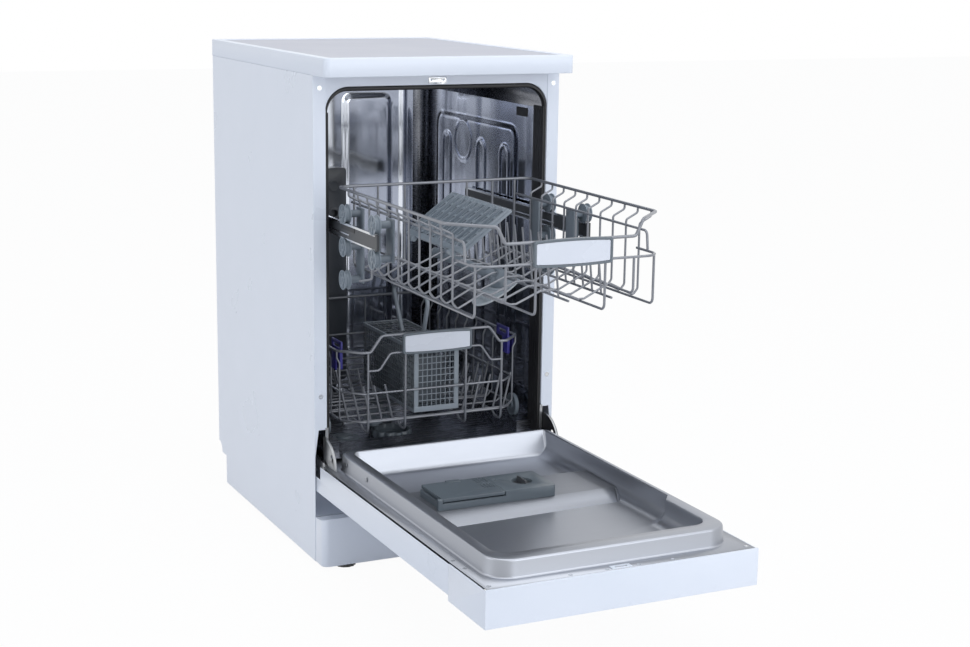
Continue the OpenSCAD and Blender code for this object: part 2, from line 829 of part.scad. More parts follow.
module upper_spray_pipe() {
    yc = (ur_fy + ur_back) / 2;
    color("#87919c") place() difference() {
        union() {
            rod_y(yc - 14, ur_back + 2, 0, spray_z, 8);
            rod_z(spray_z - 16, spray_z, 0, yc, 11);
            rod_y(ur_back - 10, ur_back + 2, 0, spray_z, 8.5);
            for (y = [for (i = [4, 9]) ur_fy + 71 + i * wire_pitch]) {
                box(-6, 6, y - 7, y + 7, spray_z, long_z(0) - (hump - 4) * 6 / 50 - wire_d / 2 - gap);
                for (d = [-7, 2.2]) box(-6, 6, y + d, y + d + 4.8, spray_z, long_z(0) + 1.5);
            }
        }
        rod_y(yc - 4, ur_back + 3, 0, spray_z, 6);
        rod_z(spray_z - 17, spray_z, 0, yc, 5);
    }
}

module upper_spray_arm() {
    yc = (ur_fy + ur_back) / 2;
    color("#b9c0c9") place() translate([0, yc, 0]) {
        rotate([0, 0, 50]) spray_arm(134, 38, spray_z - 28, 9);
        rod_z(spray_z - 19, spray_z - 16 - gap, 0, 0, 12);
        rod_z(spray_z - 19, spray_z - 9, 0, 0, 4.6);
    }
}

// Lower rack

module lower_rack() {
    f = lower_front;
    b = lr_back;
    h = lower_half + 3;
    top = [[121, f], [h - lr_corner, f], [h, f + lr_corner], [h, b - 24], [h - 24, b]];
    mid = [[h - 37, f + wire_d - weld], [h - 7, f + lr_corner], [h - 7, b - 24], [h - 27, b - 4]];
    zl = lower_low + 8;
    zb = lr_floor;
    color("#a3a7ad") place() {
        wire_xy(concat(top, flip(top)), lower_top, top_wire_d);
        wire_xz([[-128, lower_top], [-120, lower_top], [-100, lower_top + 27],
                 [100, lower_top + 27], [120, lower_top], [128, lower_top]], f, top_wire_d - 0.4);
        wire_xz([[-126, lower_top - 32], [-104, lower_top - 32], [-84, lower_top - 4],
                 [84, lower_top - 4], [104, lower_top - 32], [126, lower_top - 32]], f, wire_d);
        for (z = [lower_top - 72, lower_low + 18])
            loop_xy(concat(mid, flip(mid)), z, wire_d);
        for (y = [f + 34 : wire_pitch : b - 20])
            wire_xz([[h, lower_top], [h, lower_top - 12], [lower_half - 2, lower_top - 22],
                     [lower_half - 2, zb + 10], [lower_half - 12, zb], [12 - lower_half, zb],
                     [2 - lower_half, zb + 10], [2 - lower_half, lower_top - 22],
                     [-h, lower_top - 12], [-h, lower_top]], y, wire_d - 0.4);
        both() for (x = lower_long)
            wire_yz([[f, x > 100 ? lower_top : lower_top - 4], [f, lower_low + 8],
                     [f + 8, lower_low], [f + 22, lower_low], [f + 32, zl], [b - 32, zl],
                     [b - 22, lower_low], [b - 8, lower_low], [b, lower_low + 8],
                     [b, lower_top]], x, wire_d);
        for (y = tine_row, x = [66 : 20 : 146])
            translate([x, y, zb + 1]) rotate([0, 13, 0]) cylinder(r = 1.7, h = 62, $fn = 6);
        for (y = [tine_row[0], tine_row[2], tine_row[3]], x = [-146 : 20 : -66])
            translate([x, y, zb + 1]) rotate([0, -13, 0]) cylinder(r = 1.7, h = 62, $fn = 6);
        for (y = tine_row) box(-156, 156, y - 2, y + 2, zl + 1, zb + 1.8);
        both() for (y = wheel_y) {
            box(lower_half - 1, lower_half + 3, y - 12, y + 12, wheel_z - 8, lower_low + 30);
            rod_x(lower_half + 2, wheel_x0 - gap, y, wheel_z, 6);
            rod_x(lower_half + 2, wheel_x0 + wheel_w + 0.6, y, wheel_z, 3);
        }
    }
}

module lower_handle() {
    color("#cfd5e4") place()
        handle(lower_top - 8, lower_top + 30, lower_front - top_wire_d / 2 + 0.1, 6.3);
}

module lower_wheels(y) {
    both() difference() {
        union() {
            rod_x(wheel_x0, wheel_x0 + wheel_w, y, wheel_z, 8);
            rod_x(wheel_x0 + 2, wheel_x0 + wheel_w - 2, y, wheel_z, wheel_r);
        }
        rod_x(wheel_x0 - 1, wheel_x0 + wheel_w + 1, y, wheel_z, 3.3);
        for (a = [0 : 60 : 300]) rod_x(wheel_x0 - 1, wheel_x0 + wheel_w + 1,
            y + 13 * cos(a), wheel_z + 13 * sin(a), 3.2);
    }
}

module lower_wheels_front() { color("#8a929b") place() lower_wheels(wheel_y[0]); }
module lower_wheels_mid() { color("#8a929b") place() lower_wheels(wheel_y[1]); }
module lower_wheels_rear() { color("#8a929b") place() lower_wheels(wheel_y[2]); }

// Fold-down comb: its base wire turns on the rack's bottom
fold_z = lr_floor + 1.8 + gap + 2;

module fold_tines() {
    y = tine_row[1];
    color("#a3a7ad") place() {
        rod_x(-152, -56, y, fold_z, 2);
        for (x = [-142 : 20 : -62]) translate([x, y, fold_z]) rotate([0, -13, 0])
            cylinder(r = 1.7, h = 58);
    }
}

module rack_clips() {
    color("#4a4fa8") place() both() difference() {
        union() {
            box(lower_half - 9.8, lower_half + 2.8, 45, 66, lower_top - 34, lower_top - 2.6);
            box(lower_half - 9.8, lower_half - 6.4, 45, 90, lower_top - 6, lower_top + 13);
        }
        box(lower_half - 4.4, lower_half + 0.4, 44, 67, lower_top - 40, lower_top - 4.6);
        box(lower_half - 11, lower_half - 5, 52, 83, lower_top + 1, lower_top + 7);
    }
}

module grid(w, h, nx, ny, bar) {
    difference() {
        square([w, h]);
        for (i = [0 : nx - 1], j = [0 : ny - 1])
            translate([bar + i * (w - bar) / nx, bar + j * (h - bar) / ny])
                square([(w - bar) / nx - bar, (h - bar) / ny - bar]);
    }
}

// Moulded walls and floor that snap together, loose dividers, cross bars and a bow to lift it by
module cutlery_basket() {
    x0 = basket_x - basket_w / 2;
    x1 = basket_x + basket_w / 2;
    y0 = basket_y0;
    y1 = basket_y0 + basket_len;
    z0 = basket_z0;
    z1 = z0 + basket_h;
    t = 2.4;
    in = t + fit;
    bay = basket_len / basket_bays;
    color("#99a3ae") place() {
        for (y = [y0 + t, y1]) translate([x0, y, z0]) rotate([90, 0, 0])
            linear_extrude(t) grid(basket_w, basket_h, 5, 6, 3);
        for (x = [x0, x1 - t]) translate([x, y0 + in, z0]) rotate([90, 0, 90])
            linear_extrude(t) grid(basket_len - 2 * in, basket_h, 14, 6, 3);
        translate([x0 + in, y0 + in, z0]) linear_extrude(t)
            grid(basket_w - 2 * in, basket_len - 2 * in, 3, 9, 3);
        for (i = [1 : basket_bays - 1])
            box(x0 + in, x1 - in, y0 + i * bay - 0.8, y0 + i * bay + 0.8, z0 + in, z1 - 30);
        for (y = [y0 + 62, y0 + 150]) box(x0 + in, x1 - in, y - 3.5, y + 3.5, z1 - 5, z1);
        wire_yz([[y0 + 62, z1 + fit], [y0 + 62, z1 + 8], [y0 + 36, z1 + bow_h],
                 [y0 + 198, z1 + bow_h], [y0 + 150, z1 + 8], [y0 + 150, z1 + fit]], basket_x, 7);
        box(basket_x - 12, basket_x + 12, y0 + 40, y0 + 194, z1 + bow_h - 2, z1 + bow_h + 3);
    }
}

// Door

module door_outer_panel() {
    t = 1;
    z1 = face_z - liner_t;
    color("#e9eefa") place() {
        difference() {
            box(-door_half, door_half, -seam_reach + fit, tail_y, door_z0, z1);
            box(t - door_half, door_half - t, -seam_reach - 5, tail_y - t, door_z0 + t, z1 + 1);
            both() box(notch_x, door_half + 1, -18, tail_y + 1, door_z0 + 25, z1 + 1);
        }
        both() {
            difference() {
                rod_x(arm_x, arm_x + arm_t, hinge_y, hinge_z, arm_r);
                box(arm_x - 4, arm_x + 6, hinge_y + 9, 100, 0, 400);
                box(arm_x - 4, arm_x + 6, -100, 100, 0, door_z0 + 12);
                rod_x(arm_x - 1, arm_x + 4, hinge_y, hinge_z, pin_r + gap);
                rod_x(arm_x - 1, arm_x + 4, hinge_y - 30, hinge_z + 22, 6);
            }
        }
        both() box(notch_x - t, arm_x, -60, -25, door_z0 + t, z1 - 2);
    }
}

module recess_outline(o) {
    rrect(-recess_half - o, recess_half + 2 + o, -recess_reach - o, -recess_back + o, 24 + o);
    rrect(-recess_half - o, recess_right + o, -recess_step - o, -recess_back + o, 16 + o);
}

module rim_outline(o) {
    rrect(-rim_half - o, rim_half + o, -rim_reach - o, -rim_reach + 200, 40 + o);
    rrect(-rim_half - o, rim_half + o, -rim_reach + 80, -rim_back + o, 22 + o);
}

module door_liner() {
    t = liner_t;
    color("#aeb3bc") place() difference() {
        union() {
            translate([0, 0, face_z - t]) linear_extrude(t) difference() {
                union() {
                    translate([-216, 4 - door_reach]) square([432, door_reach - 24]);
                    translate([-notch_x, -25]) square([2 * notch_x, tail_y + 25]);
                }
                difference() { rim_outline(-t); }
            }
            translate([0, 0, face_z - t]) linear_extrude(rim_h + t)
                difference() { rim_outline(0); rim_outline(-t); }
            translate([0, 0, rim_z - t]) linear_extrude(t)
                difference() { rim_outline(-0.1); recess_outline(0); }
            translate([0, 0, recess_z - t]) linear_extrude(recess_d + t)
                difference() { recess_outline(t); recess_outline(0); }
            translate([0, 0, recess_z - t]) linear_extrude(t) recess_outline(0.2);
            along_x(-recess_half - 0.4, recess_right + 0.4)
                stroke([[-band_y0 - band_ramp, recess_z - 0.4], [-band_y0, band_top - t / 2],
                        [-band_y1, band_top - t / 2], [-band_y1 + 4, recess_z - 0.4]], t);
        }
        box(-15, 7, -latch_reach - 3, 3 - latch_reach, face_z - 5, face_z + 5);
        both() box(arm_x - gap, arm_x + arm_t + gap, hinge_y - arm_r - gap, 0, face_z - 5,
            face_z + 5);
    }
}

module along_x(x0, x1) {
    translate([x0, 0, 0]) rotate([90, 0, 90]) linear_extrude(x1 - x0) children();
}

module control_panel() {
    t = 2.5;
    y0 = -door_reach;
    y1 = -seam_reach;
    color("#e4ebfa") place() difference() {
        union() {
            box(-door_half, door_half, y0, y1, panel_z0, face_z - liner_t);
            box(-door_half, door_half, y0, y0 + 3.8, panel_z0, face_z);
        }
        difference() {
            box(t - door_half, door_half - t, y0 + t, y1 + 1, panel_z0 + t, face_z + 1);
            box(-door_half, door_half, y0, y0 + 3.8, panel_z0, face_z + 2);
            difference() {
                box(-84, 84, y0 + 3, y0 + 46, panel_z0, panel_z0 + 24);
            }
        }
        box(-80, 80, y0 + 8, y0 + 42, panel_z0 - 1, panel_z0 + 21);
        for (x = [-180, 180]) rod_z(panel_z0 - 1, panel_z0 + t + 1, x, (y0 + y1) / 2, 8.3);
        box(96, 160, (y0 + y1) / 2 - 12, (y0 + y1) / 2 + 12, panel_z0 - 1, panel_z0 + 1.5);
    }
}

module button(x) {
    y = -(door_reach + seam_reach) / 2;
    place() {
        rod_z(panel_z0 - 1.5, panel_z0 + 4, x, y, 8);
        rod_z(panel_z0 + 2.8, panel_z0 + 4.8, x, y, 11);
    }
}

module power_button() { color("#c7cfdd") button(-180); }
module start_button() { color("#c7cfdd") button(180); }

module display_window() {
    y = -(door_reach + seam_reach) / 2;
    color("#20242c") place()
        box(96 + fit, 160 - fit, y - 12 + fit, y + 12 - fit, panel_z0, panel_z0 + 1.5);
}

module dispenser_body() {
    color("#6d7780") place() difference() {
        union() {
            translate([0, 0, band_top]) linear_extrude(disp_h - lid_t - lid_slot)
                rrect(disp_x0, disp_x1, disp_y0, disp_y1, disp_r);
            translate([0, 0, band_top]) linear_extrude(disp_h) intersection() {
                rrect(disp_x0, disp_x1, disp_y0, disp_y1, disp_r);
                translate([lid_x1 + gap, disp_y0]) square([200, disp_y1 - disp_y0]);
            }
            box(disp_x0 - 4.5, disp_x0 + 3, disp_y0, lid_axis_y + 3, band_top, lid_axis_z);
            rod_x(disp_x0 - 4.5, disp_x0 + 3, lid_axis_y - 0.6, lid_axis_z, 3.4);
            rod_x(disp_x0 + 3, disp_x0 + 8, lid_axis_y, lid_axis_z, lid_pin);
            rod_x(lid_x1 - 5, lid_x1 + 1, lid_axis_y, lid_axis_z, lid_pin);
        }
        translate([0, 0, band_top + 2]) linear_extrude(disp_h)
            rrect(disp_x0 + 16, lid_x1 - 8, disp_y0 + 14, disp_y1 - 14, 6);
        rod_z(disp_top - 9, disp_top + 1, cap_x, cap_y, cap_r + gap);
        rod_z(disp_top - 3, disp_top + 1, -7, -243, 1.8);
    }
}

module dispenser_lid() {
    color("#7d878f") place() {
        difference() {
            translate([0, 0, lid_z]) linear_extrude(lid_t)
                rrect(lid_x0, lid_x1, disp_y0 + 0.6, disp_y1, 2);
            translate([0, 0, lid_z - 1]) linear_extrude(lid_t - 1)
                rrect(lid_x0 + 9, lid_x1 - 8, lid_axis_y + 8, disp_y1 - 3, 3);
            rod_x(lid_x0 - 1, disp_x0 + 8 + gap, lid_axis_y, lid_axis_z, lid_pin + gap);
            rod_x(lid_x1 - 5 - gap, lid_x1 + 1, lid_axis_y, lid_axis_z, lid_pin + gap);
            for (i = [0 : 3], row = [[-41, -249, -226], [-42, -278, -257]])
                box(row.x + i * 5.4, row.x + i * 5.4 + 2.4, row.y, row.z, disp_top - 1, disp_top + 1);
        }
        box(-86, -62, disp_y1 - 9, disp_y1, disp_top - 0.5, disp_top + 1.6);
    }
}

module rinse_cap() {
    color("#5d666e") place() {
        rod_z(disp_top - 9 + gap, disp_top - 4.5, cap_x, cap_y, cap_r);
        box(cap_x - 1.9, cap_x + 1.9, cap_y - 14.5, cap_y + 14.5, disp_top - 5, disp_top + 4);
    }
}

module door_latch() {
    color("#f2f3ee") place() difference() {
        box(-20, 12, -latch_reach - 5.5, 5.5 - latch_reach, face_z, face_z + 1.2);
        box(-14, 6, -latch_reach - 2.5, 2.5 - latch_reach, face_z - 1, face_z + 3);
    }
}

module door_screws() {
    color("#b9bdc4") place() {
        for (p = [[-208, 636], [208, 636], [-210, 524], [-208, 559], [-85, 641], [-27, 641],
                  [24, 641], [80, 641]])
            ring_screw(p.x, -p.y, face_z, 3.2, door_head);
        both() for (y = [73, 160]) rod_x(rim_half, rim_half + door_head, -y, face_z + 14.5, 4);
    }
}

worktop_frame();
worktop_panel();
left_side_panel();
right_side_panel();
panel_screws();
back_panel();
base_pan();
plinth();
splash_guard();
hinge_brackets();
tub_shell();
tub_floor();
front_frame();
door_seal();
latch_striker();
sump();
circulation_pump();
drain_pump();
water_softener();
filter_plate();
spray_duct();
rear_connections();
rail_guides();
rear_feet();
salt_cap();
filter_cup();
lower_spray_arm();
front_left_foot();
front_right_foot();
rails();
upper_rack();
upper_handle();
roller_brackets();
upper_rollers_front_top();
upper_rollers_front_low();
upper_rollers_rear_top();
upper_rollers_rear_low();
upper_rollers_spare();
cup_shelf();
upper_spray_pipe();
upper_spray_arm();
lower_rack();
lower_handle();
lower_wheels_front();
lower_wheels_mid();
lower_wheels_rear();
fold_tines();
rack_clips();
cutlery_basket();
door_outer_panel();
door_liner();
control_panel();
power_button();
start_button();
display_window();
dispenser_body();
dispenser_lid();
rinse_cap();
door_latch();
door_screws();
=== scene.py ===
# %% [markdown]
# A free-standing slim dishwasher, with its door down and its upper rack pulled out over it.
# The solids of every part come ready made and set the sizes. This lesson dresses them: wires that
# are really bent wire, pressed steel with soft edges, and finishes for enamel, steel and plastic.

# %% Load the solids and keep their box
import json
import math
import bpy
import bmesh
from mathutils import Vector, Matrix


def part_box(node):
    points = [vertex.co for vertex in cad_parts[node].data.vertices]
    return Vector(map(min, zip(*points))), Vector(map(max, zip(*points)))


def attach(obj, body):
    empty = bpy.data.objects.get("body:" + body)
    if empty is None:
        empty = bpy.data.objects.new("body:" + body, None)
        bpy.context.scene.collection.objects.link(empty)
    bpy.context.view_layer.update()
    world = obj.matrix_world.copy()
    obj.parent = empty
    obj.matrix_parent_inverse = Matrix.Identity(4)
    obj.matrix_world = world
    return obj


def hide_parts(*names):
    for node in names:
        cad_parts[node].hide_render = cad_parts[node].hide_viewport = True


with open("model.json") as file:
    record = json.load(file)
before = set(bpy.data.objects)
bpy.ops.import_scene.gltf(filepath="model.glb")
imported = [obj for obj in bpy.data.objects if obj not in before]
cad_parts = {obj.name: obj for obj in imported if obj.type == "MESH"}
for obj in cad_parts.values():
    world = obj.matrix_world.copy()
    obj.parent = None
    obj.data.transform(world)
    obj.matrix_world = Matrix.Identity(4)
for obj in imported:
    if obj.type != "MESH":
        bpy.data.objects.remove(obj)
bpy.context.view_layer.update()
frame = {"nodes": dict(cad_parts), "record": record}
MM = 0.001
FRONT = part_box("left_side_panel")[0].y


def place(x, y, z):
    """A point from millimetres, y behind the cabinet's front plane, to the frame's metres."""
    return Vector((x * MM, y * MM + FRONT, z * MM))


def box_mm(node):
    """A solid's box in millimetres, with y from the front plane."""
    low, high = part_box(node)
    return ([low.x / MM, (low.y - FRONT) / MM, low.z / MM],
            [high.x / MM, (high.y - FRONT) / MM, high.z / MM])


def middle_mm(node):
    """The middle of a solid's box in the same millimetres."""
    return [(low + high) / 2 for low, high in zip(*box_mm(node))]


# %% [markdown]
# The camera stands where the photograph was taken: in front of the left corner and a little above
# the worktop. A long lens keeps the cabinet's edges nearly parallel. Its turn is built from three
# angles, because a look-at constraint would leave out the small roll of a hand-held camera.

# %% Camera
CAMERA_AT = (-1203.39, -2663.50, 1019.40)
CAMERA_LENS, CAMERA_SENSOR = 65.363, 36
CAMERA_YAW, CAMERA_PITCH, CAMERA_ROLL = (math.radians(a) for a in (25.884, 11.973, 0.841))

ahead = Vector((math.sin(CAMERA_YAW) * math.cos(CAMERA_PITCH),
                math.cos(CAMERA_YAW) * math.cos(CAMERA_PITCH), -math.sin(CAMERA_PITCH)))
level_right = ahead.cross(Vector((0, 0, 1))).normalized()
level_up = level_right.cross(ahead)
cam_right = level_right * math.cos(CAMERA_ROLL) + level_up * math.sin(CAMERA_ROLL)
cam_up = level_up * math.cos(CAMERA_ROLL) - level_right * math.sin(CAMERA_ROLL)
camera_data = bpy.data.cameras.new("camera")
camera_data.lens = CAMERA_LENS
camera_data.sensor_width = CAMERA_SENSOR
camera = bpy.data.objects.new("camera", camera_data)
bpy.context.scene.collection.objects.link(camera)
turn = Matrix((cam_right, cam_up, -ahead)).transposed().to_4x4()
camera.matrix_world = Matrix.Translation(place(*CAMERA_AT)) @ turn
bpy.context.scene.camera = camera
print("camera at", [round(v, 3) for v in camera.location])

# %% [markdown]
# Many finishes share the same small effects: a fine moulded or sprayed grain, the drawn lines of
# brushed steel, and the soft patches that wiping leaves. Each one is a node group with named
# sockets, built once, so that every material can set its own scale and strength.


# %% Shader groups
def new_group(name, inputs, outputs):
    """An empty shader group with float and vector sockets. Returns the tree and its two ends."""
    tree = bpy.data.node_groups.new(name, "ShaderNodeTree")
    for label, kind, value in inputs:
        socket = tree.interface.new_socket(label, in_out="INPUT", socket_type=kind)
        if value is not None:
            socket.default_value = value
    for label in outputs:
        tree.interface.new_socket(label, in_out="OUTPUT", socket_type="NodeSocketFloat")
    return tree, tree.nodes.new("NodeGroupInput"), tree.nodes.new("NodeGroupOutput")


def noise_in(tree, source, scale, detail=3.0):
    """A noise texture on the group's vector, with its scale taken from a socket or a number."""
    noise = tree.nodes.new("ShaderNodeTexNoise")
    tree.links.new(source, noise.inputs["Vector"])
    for label, value in (("Scale", scale), ("Detail", detail)):
        if isinstance(value, (int, float)):
            noise.inputs[label].default_value = value
        else:
            tree.links.new(value, noise.inputs[label])
    return noise.outputs["Fac"]


def spread(tree, value, low, high):
    """Maps the middle of a noise to the range low to high, which are sockets or numbers."""
    ranged = tree.nodes.new("ShaderNodeMapRange")
    ranged.inputs["From Min"].default_value = 0.3
    ranged.inputs["From Max"].default_value = 0.7
    tree.links.new(value, ranged.inputs["Value"])
    for name, limit in (("To Min", low), ("To Max", high)):
        if isinstance(limit, (int, float)):
            ranged.inputs[name].default_value = limit
        else:
            tree.links.new(limit, ranged.inputs[name])
    return ranged.outputs["Result"]


def grain_group():
    tree, start, end = new_group("surface_grain", [("Vector", "NodeSocketVector", None),
        ("Scale", "NodeSocketFloat", 900.0), ("Smooth", "NodeSocketFloat", 0.35),
        ("Rough", "NodeSocketFloat", 0.5)], ["Height", "Roughness", "Shade"])
    fine = noise_in(tree, start.outputs["Vector"], start.outputs["Scale"])
    patches = noise_in(tree, start.outputs["Vector"], 9.0, 4.0)
    tree.links.new(fine, end.inputs["Height"])
    tree.links.new(spread(tree, patches, start.outputs["Smooth"], start.outputs["Rough"]),
                   end.inputs["Roughness"])
    tree.links.new(spread(tree, patches, 0.0, 1.0), end.inputs["Shade"])
    return tree


def brush_group():
    """Lines drawn along one axis: the noise is stretched by a long scale across the lines."""
    tree, start, end = new_group("drawn_lines", [("Vector", "NodeSocketVector", None),
        ("Stretch", "NodeSocketVector", (1.0, 1.0, 1.0)), ("Detail", "NodeSocketFloat", 5.0),
        ("Smooth", "NodeSocketFloat", 0.2), ("Rough", "NodeSocketFloat", 0.35)],
        ["Height", "Roughness", "Shade"])
    scaled = tree.nodes.new("ShaderNodeVectorMath")
    scaled.operation = "MULTIPLY"
    tree.links.new(start.outputs["Vector"], scaled.inputs[0])
    tree.links.new(start.outputs["Stretch"], scaled.inputs[1])
    lines = noise_in(tree, scaled.outputs["Vector"], 1.0, start.outputs["Detail"])
    patches = noise_in(tree, start.outputs["Vector"], 7.0, 3.0)
    tree.links.new(lines, end.inputs["Height"])
    tree.links.new(spread(tree, lines, start.outputs["Smooth"], start.outputs["Rough"]),
                   end.inputs["Roughness"])
    tree.links.new(spread(tree, patches, 0.0, 1.0), end.inputs["Shade"])
    return tree


GRAIN = grain_group()
BRUSH = brush_group()
print("shader groups:", GRAIN.name, BRUSH.name)


# %% [markdown]
# A finish is a Principled shader whose colour wanders between two close shades, whose roughness
# changes from patch to patch, and whose bump comes from the grain or the drawn lines. One helper
# wires that up, and each finish of this machine is then a few numbers.


# %% Finishes
def finish(name, light, dark, smooth, rough, grain=900.0, bump=0.1, depth=0.0001, metal=0.0,
           stretch=None, detail=5.0, coat=0.0, specular=0.5):
    """A material that mixes two shades by broad patches over a fine grain or drawn lines."""
    material = bpy.data.materials.new(name)
    material.use_nodes = True
    tree = material.node_tree
    shader = tree.nodes["Principled BSDF"]
    shader.inputs["Metallic"].default_value = metal
    shader.inputs["Coat Weight"].default_value = coat
    shader.inputs["Specular IOR Level"].default_value = specular
    where = tree.nodes.new("ShaderNodeTexCoord")
    effect = tree.nodes.new("ShaderNodeGroup")
    effect.node_tree = BRUSH if stretch else GRAIN
    tree.links.new(where.outputs["Object"], effect.inputs["Vector"])
    if stretch:
        effect.inputs["Stretch"].default_value = stretch
        effect.inputs["Detail"].default_value = detail
    else:
        effect.inputs["Scale"].default_value = grain
    effect.inputs["Smooth"].default_value = smooth
    effect.inputs["Rough"].default_value = rough
    shades = tree.nodes.new("ShaderNodeMix")
    shades.data_type = "RGBA"
    shades.inputs["A"].default_value = (*dark, 1)
    shades.inputs["B"].default_value = (*light, 1)
    tree.links.new(effect.outputs["Shade"], shades.inputs["Factor"])
    tree.links.new(shades.outputs["Result"], shader.inputs["Base Color"])
    tree.links.new(effect.outputs["Roughness"], shader.inputs["Roughness"])
    bumps = tree.nodes.new("ShaderNodeBump")
    bumps.inputs["Strength"].default_value = bump
    bumps.inputs["Distance"].default_value = depth
    tree.links.new(effect.outputs["Height"], bumps.inputs["Height"])
    tree.links.new(bumps.outputs["Normal"], shader.inputs["Normal"])
    return material


def grey(value, blue=1.04):
    """A grey with a slight blue cast, as linear colour."""
    return (value * 0.97, value, value * blue)


FINISHES = {
    "white_paint": finish("white_enamel", (0.79, 0.83, 0.91), (0.765, 0.81, 0.89), 0.27, 0.32,
                          grain=420.0, bump=0.015, coat=0.2),
    "white_plastic": finish("white_moulding", (0.80, 0.84, 0.92), (0.775, 0.82, 0.90), 0.3, 0.36,
                            grain=1400.0, bump=0.03, coat=0.1),
    "worktop_laminate": finish("worktop_laminate", (0.43, 0.445, 0.52), (0.41, 0.425, 0.50), 0.34,
                               0.42, grain=2200.0, bump=0.08, coat=0.1),
    "bright_steel": finish("bright_steel", grey(0.66), grey(0.58), 0.14, 0.24, metal=1.0,
                           stretch=(600.0, 14.0, 600.0), bump=0.05),
    "zinc_sheet": finish("zinc_sheet", grey(0.40), grey(0.36), 0.34, 0.42, metal=1.0, grain=40.0,
                         bump=0.0),
    "stainless": finish("satin_steel", (0.38, 0.40, 0.445), (0.37, 0.39, 0.435), 0.34, 0.38,
                        metal=1.0, stretch=(14.0, 900.0, 900.0), bump=0.008),
    # A darker copy of the liner's satin steel, for the cross band and its bead: painted shade.
    "band_shaded_steel": finish("band_shaded_steel", (0.29, 0.305, 0.34), (0.28, 0.295, 0.33), 0.42, 0.48,
                         metal=1.0, stretch=(14.0, 700.0, 700.0), bump=0.01),
    # The next three are copies of the tub's one steel, made lighter or darker by where light falls.
    # The darkest, for floor and wrap, is painted shade. The middle one, for the side walls, is
    # painted shade. The brightest, for the back wall, is painted reflection.
    "painted_shade_steel": finish("painted_shade_steel", (0.27, 0.28, 0.31), (0.24, 0.25, 0.28), 0.22, 0.3,
                          metal=1.0, stretch=(14.0, 500.0, 500.0), bump=0.01),
    "lit_mirror_steel": finish("lit_mirror_steel", (0.76, 0.80, 0.88), (0.70, 0.74, 0.82), 0.07, 0.14,
                           metal=1.0, stretch=(14.0, 14.0, 0.9), detail=1.0, bump=0.4,
                           depth=0.008),
    "shaded_side_steel": finish("shaded_side_steel", (0.46, 0.48, 0.54), (0.40, 0.42, 0.48), 0.09, 0.16,
                         metal=1.0, stretch=(14.0, 14.0, 0.9), detail=1.0, bump=0.4, depth=0.008),
    "coated_wire": finish("coated_wire", (0.25, 0.26, 0.29), (0.205, 0.215, 0.24), 0.26, 0.36,
                          grain=500.0, bump=0.06, metal=0.35, coat=0.2, specular=0.6),
    "handle_plastic": finish("handle_panel", (0.74, 0.77, 0.84), (0.71, 0.74, 0.81), 0.22, 0.3,
                             grain=1800.0, bump=0.03, coat=0.2),
    "button_plastic": finish("button_moulding", (0.42, 0.44, 0.48), (0.37, 0.39, 0.43), 0.22, 0.3,
                             grain=1600.0, bump=0.05, coat=0.2),
    "display_glass": finish("display_window", (0.012, 0.013, 0.018), (0.008, 0.009, 0.013), 0.06,
                            0.12, grain=1000.0, bump=0.02, coat=0.6),
}
# slot, material, light shade, dark shade, roughness from and to, grain, bump
MOULDINGS = (
    ("black_plastic", "black_moulding", (0.022, 0.022, 0.024), (0.014, 0.014, 0.016), 0.35, 0.5,
     1500, 0.15),
    ("black_rubber", "seal_rubber", (0.018, 0.018, 0.02), (0.011, 0.011, 0.013), 0.38, 0.55, 800,
     0.2),
    ("grey_plastic", "grey_moulding", (0.20, 0.235, 0.27), (0.17, 0.20, 0.235), 0.3, 0.42, 1500,
     0.12),
    ("dispenser_plastic", "dispenser_moulding", (0.12, 0.145, 0.165), (0.10, 0.122, 0.142), 0.34,
     0.46, 1500, 0.08),
    ("frame_plastic", "frame_moulding", (0.15, 0.175, 0.20), (0.125, 0.15, 0.175), 0.26, 0.36,
     1500, 0.08),
    ("duct_plastic", "duct_moulding", (0.075, 0.085, 0.10), (0.055, 0.063, 0.075), 0.3, 0.44, 1300,
     0.1),
    ("light_grey_plastic", "pale_grey_moulding", (0.32, 0.36, 0.40), (0.28, 0.315, 0.355), 0.3,
     0.42, 1500, 0.1),
    # The next row is a darker copy of the pale grey moulding: painted shade on the cutlery basket's
    # inner faces.
    ("basket_shaded_plastic", "basket_painted_shade", (0.16, 0.18, 0.20), (0.12, 0.14, 0.16), 0.34, 0.46, 1500,
     0.1),
    ("dark_grey_plastic", "dark_grey_moulding", (0.05, 0.054, 0.06), (0.036, 0.04, 0.045), 0.3,
     0.44, 1300, 0.12),
    ("natural_plastic", "natural_moulding", (0.62, 0.63, 0.64), (0.56, 0.57, 0.58), 0.35, 0.45,
     1200, 0.1),
    ("wheel_plastic", "wheel_moulding", (0.25, 0.29, 0.33), (0.20, 0.235, 0.27), 0.28, 0.4, 1200,
     0.12),
    ("blue_plastic", "blue_moulding", (0.055, 0.05, 0.30), (0.035, 0.032, 0.22), 0.28, 0.4, 1200,
     0.12),
)
for slot, name, light, dark, smooth, rough, grain, bump in MOULDINGS:
    FINISHES[slot] = finish(name, light, dark, smooth, rough, grain=grain, bump=bump)
SLOTS = {part["node"]: part["material_slot"] for part in frame["record"]["subparts"]}
for node, part in frame["nodes"].items():
    part.data.materials.clear()
    part.data.materials.append(FINISHES[SLOTS[node]])
# The tub floor takes the darkest copy of the tub's steel: painted shade.
frame["nodes"]["tub_floor"].data.materials[0] = FINISHES["painted_shade_steel"]
print(len(FINISHES), "finishes on", len(frame["nodes"]), "solids")

# %% [markdown]
# Real mouldings and folded sheets have no razor edges, and a thin bright line along each edge is
# what makes them look solid. A copy of the solid is welded, its flat faces are joined, and a
# narrow live bevel rounds the edges. The solid itself stays hidden for the moving model.

# %% Rounded copies of solids
BODY_OF = {node: body for body, nodes in frame["record"]["behaviour"]["bodies"].items()
           for node in nodes}


